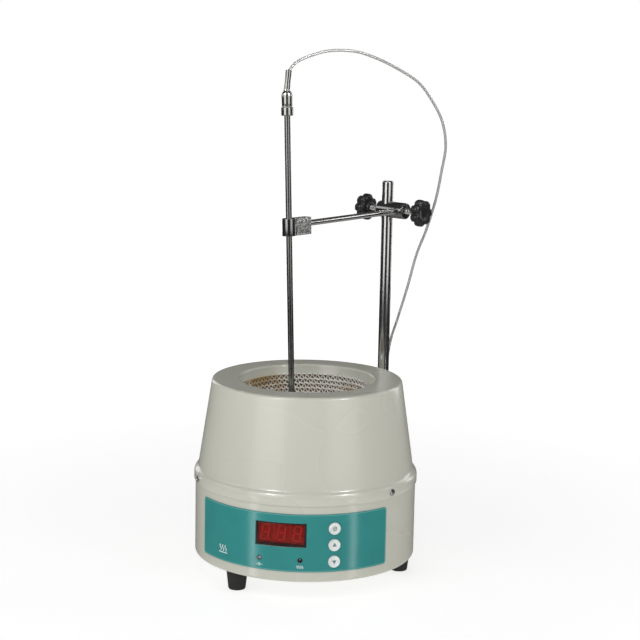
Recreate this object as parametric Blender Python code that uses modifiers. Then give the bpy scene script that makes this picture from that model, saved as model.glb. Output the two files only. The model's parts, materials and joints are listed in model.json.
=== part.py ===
"""Digital heating mantle with a stand rod, boss head, side arm and temperature probe.

Metres, +Z up, with the front panel facing -Y. Everything is laid out about the drum's axis at bench
level, and azimuths are measured about it from the front (-Y) towards +X. The rod and its clamp stand
out behind the drum, so the last step moves it all forwards: the origin is then at the middle of the
whole footprint.
"""
from math import acos, cos, degrees, pi, radians, sin, sqrt, tan

import bmesh
import bpy
from mathutils import Matrix, Vector

MM = 0.001
GAP = 0.3 * MM
BORE_GAP = 0.25 * MM
FOOTPRINT_MIDDLE_Y = 8.5 * MM

# Drum and cone
SHELL_SEGMENTS = 48
SHEET = 1.4 * MM
FOOT_HEIGHT = 20 * MM
DRUM_RADIUS = 114.0 * MM
DRUM_BASE_Z = FOOT_HEIGHT
DRUM_TOP_Z = DRUM_BASE_Z + 84.2 * MM
DRUM_CORNER = 3.0 * MM
SKIRT_RADIUS = 115.4 * MM
SKIRT_SHEET = 0.9 * MM
SKIRT_Z = DRUM_BASE_Z + 77.7 * MM
SKIRT_TOP_Z = DRUM_BASE_Z + 84.6 * MM
FLARE_ANGLE = 50.0
FLARE_CONVEX = 7.0 * MM
FLARE_CONCAVE = 5.5 * MM
CONE_ANGLE = 8.5
RING_Z = DRUM_BASE_Z + 182.4 * MM
SHOULDER = 3.2 * MM
HOLE_RADIUS = 69.6 * MM
LIP_ROUND = 1.6 * MM
LIP_DEPTH = 9.5 * MM
LIP_TAPER = 2.4 * MM

# Bowl
BOWL_RADIUS = 67.0 * MM
BOWL_WALL = 3.2 * MM
BOWL_CENTRE_Z = RING_Z - LIP_DEPTH - 1.0 * MM
WIRE_DIAMETER = 2.0 * MM
WIRE_TURNS = 5
WIRE_POINTS_PER_TURN = 24
WIRE_DIPS = (14.0, 74.0)
WIRE_CLEARANCE = 1.2 * MM
WOOL_CLEARANCE = 2.2 * MM
PAN_CLEARANCE = 1.0 * MM
INSULATION_WALL = 13.0 * MM
PAN_WALL = 1.0 * MM

# Front panel
PANEL_HALF_ANGLE = 53.5
PANEL_Z = (DRUM_BASE_Z + 11.2 * MM, DRUM_BASE_Z + 69.6 * MM)
PANEL_THICKNESS = 0.5 * MM
PANEL_RADIUS = DRUM_RADIUS + GAP
DISPLAY_AZIMUTH = -3.5
DISPLAY_Z = DRUM_BASE_Z + 48.2 * MM
DISPLAY_SIZE = (51.0 * MM, 24.0 * MM)
BEZEL_WIDTH = 1.6 * MM
DISPLAY_DEPTH = 3.6 * MM
DIGIT_SIZE = (15.6 * MM, 19.0 * MM, 8.0 * MM)
DIGIT_PITCH = 16.0 * MM
LED_RADIUS = 2.3 * MM
LED_Z = DRUM_BASE_Z + 22.9 * MM
LED_AZIMUTHS = {"set_led": -14.2, "heat_led": 6.4}
BUTTON_RADIUS = 6.0 * MM
BUTTON_AZIMUTH = 23.3
BUTTON_HEIGHTS = {"set_button": 55.2 * MM, "up_button": 38.4 * MM, "down_button": 21.6 * MM}

# Inside the drum
CHASSIS_RADIUS = 78 * MM
CHASSIS_STANDOFF = 6 * MM
CHASSIS_SHEET = 1.2 * MM
TRANSFORMER_XY = (-40 * MM, 18 * MM)
CORE_SIZE = (44 * MM, 30 * MM, 38 * MM)
BOARD_SHEET = 1.6 * MM
BOARD_SIZE = (62 * MM, 74 * MM, BOARD_SHEET)
BOARD_STANDOFF = 5 * MM
SINK_XY = (34 * MM, 22 * MM)
SINK_SIZE = (36 * MM, 20 * MM, 24 * MM)
SINK_FIN_PITCH = 8 * MM
TRIAC_SIZE = (10 * MM, 4.5 * MM, 15 * MM)
TERMINAL_SIZE = (30 * MM, 12 * MM, 13 * MM)

# Rear panel
REAR_WINDOW = (92.0 * MM, 44.0 * MM)
REAR_WINDOW_Z = DRUM_BASE_Z + 42 * MM
REAR_TRAY = (97.0 * MM, 50.0 * MM)
REAR_TRAY_DEPTH = 20 * MM
REAR_PLATE_Y = 101.0 * MM
REAR_PLATE_SHEET = 1.5 * MM
INLET_X = 27.0 * MM
SWITCH_X = 0.0
FUSE_X = -17.5 * MM
SOCKET_X = -35.0 * MM
SWITCH_TILT = 8.0
INLET_FLANGE = (31 * MM, 24 * MM, 2.2 * MM)
INLET_BODY = (27 * MM, 20 * MM, 22 * MM)
INLET_CAVITY = (23.6 * MM, 16.4 * MM, 18 * MM)
BLADE_SIZE = (2 * MM, 4 * MM, 13 * MM)
BLADE_SPOTS = ((-7 * MM, -2 * MM), (0, 2 * MM), (7 * MM, -2 * MM))
SWITCH_FLANGE = (15 * MM, 21 * MM, 2 * MM)
SWITCH_BODY = (13 * MM, 19 * MM, 16 * MM)
SWITCH_OPENING = (9.6 * MM, 15.6 * MM, 12 * MM)
ROCKER_RADIUS = 7.2 * MM
ROCKER_HALF_WIDTH = 4.4 * MM
FUSE_HOLE_RADIUS = 6.3 * MM
SOCKET_HOLE_RADIUS = 7.3 * MM

# Feet and screws
FOOT_AZIMUTHS = (-34.0, 96.0, 211.0)
FOOT_CIRCLE = 99.5 * MM
FOOT_TOP_RADIUS = 11.0 * MM
FOOT_BOTTOM_RADIUS = 8.2 * MM
SCREW_AZIMUTHS = (-61.5, 56.5, 176.0)
SCREW_HEAD_RADIUS = 3.6 * MM
SCREW_Z = DRUM_BASE_Z + 83.4 * MM

# Stand rod and boss head
ROD_POSITION = Vector((67.7 * MM, 103.0 * MM, 0))
ROD_RADIUS = 6.0 * MM
ROD_FOOT_Z = DRUM_BASE_Z + 15 * MM
ROD_TOP_Z = DRUM_BASE_Z + 378 * MM
BRACKET_Z = (DRUM_BASE_Z + 10 * MM, DRUM_BASE_Z + 52 * MM)
BRACKET_RADIUS = 10.0 * MM
BRACKET_SCREW_Z = DRUM_BASE_Z + 38 * MM
BOSS_ANGLE = -34.4
BOSS_Z = DRUM_BASE_Z + 348 * MM
BOSS_RADIUS = 8.6 * MM
BOSS_SPAN = (-10.0 * MM, 26.2 * MM)
ARM_OFFSET = 18.0 * MM
CLAMP_SCREW_RADIUS = 2.8 * MM
KNOB_RADIUS = 13.0 * MM
KNOB_LOBE = 1.3 * MM
KNOB_LOBES = 7
KNOB_THICKNESS = 10.3 * MM
KNOB_STANDOFF = 15.2 * MM
SCREW_INTO_KNOB = 5 * MM

# Side arm, clip and probe
ARM_RADIUS = 3.0 * MM
ARM_TAIL = 12.5 * MM
CLIP_POINT = Vector((-13.9 * MM, -48.1 * MM, DRUM_BASE_Z + 345 * MM))
CLIP_HEIGHT = 17.4 * MM
CLIP_DROP = 1.5 * MM
CLIP_LENGTH = 21.6 * MM
CLIP_WIDTH = 10.0 * MM
JAW_RADIUS = 6.8 * MM
PROBE_LEAN = 2.5
PROBE_RADIUS = 3.0 * MM
PROBE_LENGTH = 300.0 * MM
PROBE_ABOVE_CLIP = 107.9 * MM
COLLAR_RADIUS = 6.0 * MM
COLLAR_HEIGHT = 8.6 * MM
BARREL_RADIUS = 5.4 * MM
BARREL_HEIGHT = 12.6 * MM
SLEEVE_RADIUS = 3.0 * MM
SLEEVE_TOP = (2.3 * MM, 43.0 * MM)

# Sensor lead: it leaves the probe's sleeve, loops over, drops behind the rod and the drum to the bench,
# and rises to its plug in the rear socket. Each stretch crosses one joint.
LEAD_RADIUS = 1.5 * MM
LEAD_POINTS_MM = [
    (-35.0, 154.5, 62.0), (-35.0, 170.0, 60.5), (-34.0, 188.0, 50.0), (-36.0, 203.0, 31.0),
    (-44.0, 216.0, 12.0), (-58.0, 224.0, 2.6), (-78.0, 223.0, 1.8), (-96.0, 208.0, 1.8),
    (-98.0, 185.0, 1.8), (-82.0, 167.0, 1.8), (-54.0, 160.0, 1.8), (-25.0, 161.0, 4.0),
    (2.0, 163.0, 17.0), (24.0, 156.0, 45.0), (42.0, 143.0, 85.0), (56.0, 131.0, 128.0),
    (66.0, 122.0, 175.0), (73.0, 117.5, 221.0), (80.0, 118.0, 246.0), (90.0, 118.5, 282.0),
    (99.0, 116.0, 318.0), (110.0, 107.0, 348.0), (120.0, 94.0, 382.0), (126.0, 82.0, 413.0),
    (130.0, 72.0, 439.0), (126.5, 61.0, 465.0), (116.0, 49.0, 487.0), (103.0, 37.0, 505.0),
    (84.0, 24.0, 518.0), (64.0, 10.0, 528.5), (43.0, -3.0, 535.5), (19.5, -18.0, 536.0),
    (0.3, -31.0, 530.4), (-10.6, -39.7, 524.5), (-16.9, -44.0, 516.9),
]
LEAD_JOINS = {"lead_bench": (0, 18), "lead_riser": (18, 22), "lead_side": (22, 25),
              "lead_bow": (25, 29), "lead_top": (29, 34)}
LEAD_TUBE_POINTS = 79

COLOURS = {
    "enamel": ((0.56, 0.56, 0.50), 0.25, 0.0),
    "teal_label": ((0.048, 0.27, 0.26), 0.35, 0.0),
    "black_plastic": ((0.02, 0.02, 0.022), 0.45, 0.0),
    "red_window": ((0.22, 0.01, 0.012), 0.12, 0.0),
    "digit_plastic": ((0.75, 0.68, 0.66), 0.4, 0.0),
    "led_lens": ((0.45, 0.42, 0.36), 0.2, 0.0),
    "button_plastic": ((0.80, 0.84, 0.82), 0.4, 0.0),
    "steel": ((0.62, 0.62, 0.62), 0.18, 1.0),
    "chrome": ((0.78, 0.78, 0.78), 0.08, 1.0),
    "rubber": ((0.03, 0.03, 0.03), 0.75, 0.0),
    "glass_fibre": ((0.80, 0.75, 0.65), 0.9, 0.0),
    "heater_wire": ((0.35, 0.33, 0.31), 0.4, 1.0),
    "wool": ((0.80, 0.78, 0.70), 0.95, 0.0),
    "aluminium": ((0.66, 0.67, 0.68), 0.35, 1.0),
    "copper_winding": ((0.45, 0.20, 0.08), 0.35, 1.0),
    "lamination": ((0.22, 0.22, 0.23), 0.5, 1.0),
    "board": ((0.02, 0.16, 0.08), 0.5, 0.0),
    "boss_steel": ((0.10, 0.10, 0.10), 0.22, 1.0),
    "zinc": ((0.50, 0.50, 0.49), 0.45, 1.0),
    "jaw_steel": ((0.06, 0.06, 0.06), 0.25, 1.0),
    "braid": ((0.55, 0.55, 0.54), 0.4, 1.0),
}


def clear_scene():
    for obj in list(bpy.data.objects):
        bpy.data.objects.remove(obj, do_unlink=True)


def make_collection(name):
    collection = bpy.data.collections.new(name)
    bpy.context.scene.collection.children.link(collection)
    return collection


clear_scene()
PARTS = make_collection("heating_mantle")
CUTTERS = make_collection("cutters")


# ---------------------------------------------------------------- helpers

def material(name):
    if name in bpy.data.materials:
        return bpy.data.materials[name]
    colour, roughness, metallic = COLOURS[name]
    mat = bpy.data.materials.new(name)
    mat.use_nodes = True
    shader = mat.node_tree.nodes["Principled BSDF"]
    shader.inputs["Base Color"].default_value = (*colour, 1)
    shader.inputs["Roughness"].default_value = roughness
    shader.inputs["Metallic"].default_value = metallic
    mat.diffuse_color = (*colour, 1)
    return mat


def new_object(name, mesh, slot=None, matrix=None):
    """A part in its own material, or a cutter if no material is named."""
    obj = bpy.data.objects.new(name, mesh)
    if slot:
        PARTS.objects.link(obj)
        mesh.materials.append(material(slot))
    else:
        CUTTERS.objects.link(obj)
        obj.hide_render = True
        obj.display_type = "WIRE"
    if matrix:
        obj.matrix_world = matrix
    return obj


def drum_frame(azimuth, radius, height):
    """A frame on the drum: X along its wall, Y up, Z straight out."""
    turn = Matrix.Rotation(radians(azimuth), 4, "Z") @ Matrix.Rotation(pi / 2, 4, "X")
    a = radians(azimuth)
    return Matrix.Translation((radius * sin(a), -radius * cos(a), height)) @ turn


def along(point, direction):
    """A frame at a point whose Z runs along a direction."""
    return Matrix.Translation(point) @ Vector(direction).to_track_quat("Z", "Y").to_matrix().to_4x4()


def smooth(mesh, angle=35):
    mesh.shade_smooth()
    mesh.set_sharp_from_angle(angle=radians(angle))


def arc(centre_r, centre_z, radius, start, end, steps):
    """Points of a profile's round stretch, from one angle to another in degrees."""
    points = []
    for i in range(steps + 1):
        a = radians(start + (end - start) * i / steps)
        points.append((centre_r + radius * cos(a), centre_z + radius * sin(a)))
    return points


def turned(name, profile, slot=None, segments=24, closed=True, matrix=None):
    """A turned shape: the profile of (radius, height) runs down its outer side."""
    mesh = bpy.data.meshes.new(name)
    bm = bmesh.new()
    verts = [bm.verts.new((r, 0, z)) for r, z in profile]
    for a, b in zip(verts, verts[1:]):
        bm.edges.new((a, b))
    if closed:
        bm.edges.new((verts[-1], verts[0]))
    bm.to_mesh(mesh)
    bm.free()
    obj = new_object(name, mesh, slot, matrix)
    screw = obj.modifiers.new("turn", "SCREW")
    screw.steps = segments
    screw.render_steps = segments
    screw.use_merge_vertices = True
    screw.merge_threshold = 0.00001
    screw.use_smooth_shade = True
    return obj


def thicken(obj, thickness, offset=-1.0):
    solidify = obj.modifiers.new("sheet", "SOLIDIFY")
    solidify.thickness = thickness
    solidify.offset = offset
    solidify.use_even_offset = True


def box(name, size, slot=None, matrix=None, bevel=0.0, segments=1):
    mesh = bpy.data.meshes.new(name)
    bm = bmesh.new()
    bmesh.ops.create_cube(bm, size=1.0)
    bmesh.ops.scale(bm, vec=size, verts=bm.verts)
    bm.to_mesh(mesh)
    bm.free()
    obj = new_object(name, mesh, slot, matrix)
    if bevel:
        edge = obj.modifiers.new("edges", "BEVEL")
        edge.width = bevel
        edge.segments = segments
    return obj


def rod(name, radius, low, high, slot=None, segments=16, matrix=None, end_radius=None, bevel=0.0):
    """A cylinder, or a cone, from one height to another along its frame's Z."""
    mesh = bpy.data.meshes.new(name)
    bm = bmesh.new()
    top = radius if end_radius is None else end_radius
    bmesh.ops.create_cone(bm, cap_ends=True, segments=segments, radius1=radius, radius2=top,
                          depth=high - low)
    bmesh.ops.translate(bm, vec=(0, 0, (high + low) / 2), verts=bm.verts)
    bm.to_mesh(mesh)
    bm.free()
    smooth(mesh)
    obj = new_object(name, mesh, slot, matrix)
    if bevel:
        edge = obj.modifiers.new("edges", "BEVEL")
        edge.width = bevel
        edge.segments = 1
        edge.limit_method = "ANGLE"
        edge.angle_limit = radians(40)
    return obj


def cut(obj, *cutters):
    for cutter in cutters:
        boolean = obj.modifiers.new("cut", "BOOLEAN")
        boolean.operation = "DIFFERENCE"
        boolean.solver = "EXACT"
        boolean.object = cutter


def join(obj, other):
    boolean = obj.modifiers.new("join", "BOOLEAN")
    boolean.operation = "UNION"
    boolean.solver = "EXACT"
    boolean.object = other


def keep_within(obj, other):
    boolean = obj.modifiers.new("keep", "BOOLEAN")
    boolean.operation = "INTERSECT"
    boolean.solver = "EXACT"
    boolean.object = other


def tube(name, points, radius, slot):
    """A round tube through points, as a POLY curve."""
    curve = bpy.data.curves.new(name, "CURVE")
    curve.dimensions = "3D"
    curve.bevel_depth = radius
    curve.bevel_resolution = 2
    curve.use_fill_caps = True
    spline = curve.splines.new("POLY")
    spline.points.add(len(points) - 1)
    for item, point in zip(spline.points, points):
        item.co = (*point, 1)
    curve.materials.append(material(slot))
    obj = bpy.data.objects.new(name, curve)
    PARTS.objects.link(obj)
    return obj


# ---------------------------------------------------------------- shells

def upper_shell():
    """Inner lip, flat ring, shoulder, cone, flare and the skirt that laps over the drum."""
    convex_r = SKIRT_RADIUS - FLARE_CONVEX
    flare = arc(convex_r, SKIRT_TOP_Z, FLARE_CONVEX, FLARE_ANGLE, 0, 3)
    meet_r, meet_z = flare[0]
    fillet_r = meet_r + FLARE_CONCAVE * cos(radians(FLARE_ANGLE))
    fillet_z = meet_z + FLARE_CONCAVE * sin(radians(FLARE_ANGLE))
    fillet = arc(fillet_r, fillet_z, FLARE_CONCAVE, 180 + CONE_ANGLE, 180 + FLARE_ANGLE, 3)
    cone_r, cone_z = fillet[0]
    shoulder_z = RING_Z - SHOULDER
    top_z = shoulder_z + SHOULDER * sin(radians(CONE_ANGLE))
    top_r = cone_r - (top_z - cone_z) * tan(radians(CONE_ANGLE))
    shoulder = arc(top_r - SHOULDER * cos(radians(CONE_ANGLE)), shoulder_z, SHOULDER, 90, CONE_ANGLE, 3)
    lip = arc(HOLE_RADIUS + LIP_ROUND, RING_Z - LIP_ROUND, LIP_ROUND, 180, 90, 2)
    profile = [(HOLE_RADIUS - LIP_TAPER, RING_Z - LIP_DEPTH)] + lip + shoulder
    profile += fillet + flare[1:] + [(SKIRT_RADIUS, SKIRT_Z)]
    shell = turned("upper_shell", profile, "enamel", SHELL_SEGMENTS, closed=False)
    thicken(shell, SKIRT_SHEET)
    return shell


def lower_shell():
    """A deep cup: wall and bottom in one pressing, with its cut-outs."""
    corner = arc(DRUM_RADIUS - DRUM_CORNER, DRUM_BASE_Z + DRUM_CORNER, DRUM_CORNER, 0, -90, 3)
    profile = [(DRUM_RADIUS, DRUM_TOP_Z)] + corner + [(0.0, DRUM_BASE_Z)]
    shell = turned("lower_shell", profile, "enamel", SHELL_SEGMENTS, closed=False)
    thicken(shell, SHEET)
    wall = drum_frame(DISPLAY_AZIMUTH, DRUM_RADIUS, DISPLAY_Z)
    window = (DISPLAY_SIZE[0] + 2 * GAP, DISPLAY_SIZE[1] + 2 * GAP, 16 * MM)
    cutters = [box("cut_display", window, matrix=wall)]
    for name, azimuth in LED_AZIMUTHS.items():
        place = drum_frame(azimuth, DRUM_RADIUS, LED_Z)
        cutters.append(rod("cut_" + name, LED_RADIUS + GAP, -8 * MM, 8 * MM, matrix=place))
    for name, height in BUTTON_HEIGHTS.items():
        place = drum_frame(BUTTON_AZIMUTH, DRUM_RADIUS, DRUM_BASE_Z + height)
        cutters.append(rod("cut_" + name, BUTTON_RADIUS + GAP, -8 * MM, 8 * MM, matrix=place))
    rear = Matrix.Translation((0, DRUM_RADIUS - 8 * MM, REAR_WINDOW_Z))
    cutters.append(box("cut_rear", (REAR_WINDOW[0], 30 * MM, REAR_WINDOW[1]), matrix=rear))
    cut(shell, *cutters)
    return cutters


def panel_overlay(cutters):
    """The front label: a thin sheet that follows the drum's wall."""
    mesh = bpy.data.meshes.new("panel_overlay")
    bm = bmesh.new()
    step = 360 / SHELL_SEGMENTS
    columns = int(2 * PANEL_HALF_ANGLE / step)
    bmesh.ops.create_grid(bm, x_segments=columns, y_segments=1, size=0.5)
    for vert in bm.verts:
        # columns stand on the wall's own corners, so that the label lies flat on each facet
        azimuth = round(vert.co.x * columns) * step
        azimuth = max(-PANEL_HALF_ANGLE, min(PANEL_HALF_ANGLE, azimuth))
        height = PANEL_Z[0] + (vert.co.y + 0.5) * (PANEL_Z[1] - PANEL_Z[0])
        a = radians(azimuth)
        vert.co = (PANEL_RADIUS * sin(a), -PANEL_RADIUS * cos(a), height)
    bmesh.ops.recalc_face_normals(bm, faces=bm.faces)
    facing = sum(f.normal.dot(f.calc_center_median()) for f in bm.faces)
    if facing < 0:
        bmesh.ops.reverse_faces(bm, faces=bm.faces)
    bm.to_mesh(mesh)
    bm.free()
    label = new_object("panel_overlay", mesh, "teal_label")
    thicken(label, PANEL_THICKNESS, 1.0)
    cut(label, *[c for c in cutters if c.name != "cut_rear"])


# ---------------------------------------------------------------- front fittings

def display():
    """Black frame, red window and three digit modules on their board."""
    place = drum_frame(DISPLAY_AZIMUTH, DRUM_RADIUS, DISPLAY_Z)
    width, height = DISPLAY_SIZE
    frame_back = -DISPLAY_DEPTH - 3 * MM
    frame_front = -DISPLAY_DEPTH + 1.2 * MM
    middle = Matrix.Translation((0, 0, (frame_back + frame_front) / 2))
    bezel = box("display_bezel", (width, height, frame_front - frame_back), "black_plastic",
                place @ middle)
    opening = (width - 2 * BEZEL_WIDTH, height - 2 * BEZEL_WIDTH, 20 * MM)
    cut(bezel, box("cut_bezel", opening, matrix=place @ middle))
    lens_size = (opening[0] - 2 * GAP, opening[1] - 2 * GAP, 1.5 * MM)
    box("display_lens", lens_size, "red_window", place @ Matrix.Translation((0, 0, -DISPLAY_DEPTH)))
    digit_z = frame_back - GAP - DIGIT_SIZE[2] / 2
    for name, x in (("digit_left", -DIGIT_PITCH), ("digit_middle", 0.0), ("digit_right", DIGIT_PITCH)):
        box(name, DIGIT_SIZE, "digit_plastic", place @ Matrix.Translation((x, 0, digit_z)))
    board_z = digit_z - DIGIT_SIZE[2] / 2 - GAP - BOARD_SHEET / 2
    box("display_board", (72 * MM, 58 * MM, BOARD_SHEET), "board",
        place @ Matrix.Translation((2 * MM, -8 * MM, board_z)))


def leds():
    """Domed lamps that stand a little proud of the label."""
    for name, azimuth in LED_AZIMUTHS.items():
        tip = arc(0, 0, LED_RADIUS, 90, 0, 3)
        profile = tip + [(LED_RADIUS, -6 * MM), (0.0, -6 * MM)]
        place = drum_frame(azimuth, DRUM_RADIUS - 0.6 * MM, LED_Z)
        turned(name, profile, "led_lens", 12, closed=False, matrix=place)


def buttons():
    """Round push buttons with a raised rim; each travels straight in."""
    r = BUTTON_RADIUS
    for name, height in BUTTON_HEIGHTS.items():
        profile = [(0, 2.0 * MM), (r - 1.9 * MM, 2.0 * MM), (r - 1.4 * MM, 2.4 * MM)]
        profile += [(r - 0.5 * MM, 2.4 * MM), (r, 1.8 * MM), (r, -4 * MM), (0, -4 * MM)]
        place = drum_frame(BUTTON_AZIMUTH, DRUM_RADIUS, DRUM_BASE_Z + height)
        turned(name, profile, "button_plastic", 20, closed=False, matrix=place)


# ---------------------------------------------------------------- bowl

def hollow_half_sphere(name, inner, wall, slot, segments, steps):
    """A half-round cup with an even wall, open at the top."""
    profile = arc(0, BOWL_CENTRE_Z, inner + wall, 0, -90, steps)
    cup = turned(name, profile, slot, segments, closed=False)
    thicken(cup, wall)
    return cup


def bowl():
    hollow_half_sphere("heating_bowl", BOWL_RADIUS, BOWL_WALL, "glass_fibre", 32, 6)
    wire_radius = BOWL_RADIUS + BOWL_WALL + WIRE_CLEARANCE + WIRE_DIAMETER / 2
    points = []
    count = WIRE_TURNS * WIRE_POINTS_PER_TURN
    for i in range(count + 1):
        turn = 2 * pi * i / WIRE_POINTS_PER_TURN
        dip = radians(WIRE_DIPS[0] + (WIRE_DIPS[1] - WIRE_DIPS[0]) * i / count)
        ring = wire_radius * cos(dip)
        points.append((ring * cos(turn), ring * sin(turn), BOWL_CENTRE_Z - wire_radius * sin(dip)))
    tube("heating_wire", points, WIRE_DIAMETER / 2, "heater_wire")
    wool = wire_radius + WIRE_DIAMETER / 2 + WOOL_CLEARANCE
    hollow_half_sphere("insulation_bowl", wool, INSULATION_WALL, "wool", 24, 5)
    pan = wool + INSULATION_WALL + PAN_CLEARANCE
    hollow_half_sphere("bowl_pan", pan, PAN_WALL, "aluminium", 24, 5)


# ---------------------------------------------------------------- inside the drum

def inside():
    """Chassis plate, transformer, control board and what stands on it."""
    plate_low = DRUM_BASE_Z + SHEET + CHASSIS_STANDOFF
    plate_high = plate_low + CHASSIS_SHEET
    rod("chassis_plate", CHASSIS_RADIUS, plate_low, plate_high, "aluminium", 32)
    deck = plate_high + GAP
    middle = Matrix.Translation((*TRANSFORMER_XY, deck + CORE_SIZE[2] / 2))
    core = box("transformer_core", CORE_SIZE, "lamination", middle)
    cut(core, box("cut_core", (26 * MM, 40 * MM, 24 * MM), matrix=middle))
    box("transformer_winding", (24 * MM, 40 * MM, 22 * MM), "copper_winding", middle,
        bevel=3 * MM, segments=2)
    board_z = deck + BOARD_SHEET / 2 + BOARD_STANDOFF
    box("control_board", BOARD_SIZE, "board", Matrix.Translation((32 * MM, -4 * MM, board_z)))
    board_top = board_z + BOARD_SHEET / 2 + GAP
    sink_x, sink_y = SINK_XY
    sink = box("heat_sink", SINK_SIZE, "aluminium",
               Matrix.Translation((sink_x, sink_y, board_top + SINK_SIZE[2] / 2)))
    for i in range(4):
        groove = Matrix.Translation((sink_x + (i - 1.5) * SINK_FIN_PITCH, sink_y, board_z + 19 * MM))
        cut(sink, box("cut_sink_%d" % i, (SINK_FIN_PITCH / 2, 24 * MM, 22 * MM), matrix=groove))
    box("triac", TRIAC_SIZE, "black_plastic",
        Matrix.Translation((sink_x, sink_y - 12.8 * MM, board_top + TRIAC_SIZE[2] / 2)))
    box("terminal_block", TERMINAL_SIZE, "button_plastic",
        Matrix.Translation((28 * MM, -24 * MM, board_top + TERMINAL_SIZE[2] / 2)))


# ---------------------------------------------------------------- rear fittings

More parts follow.
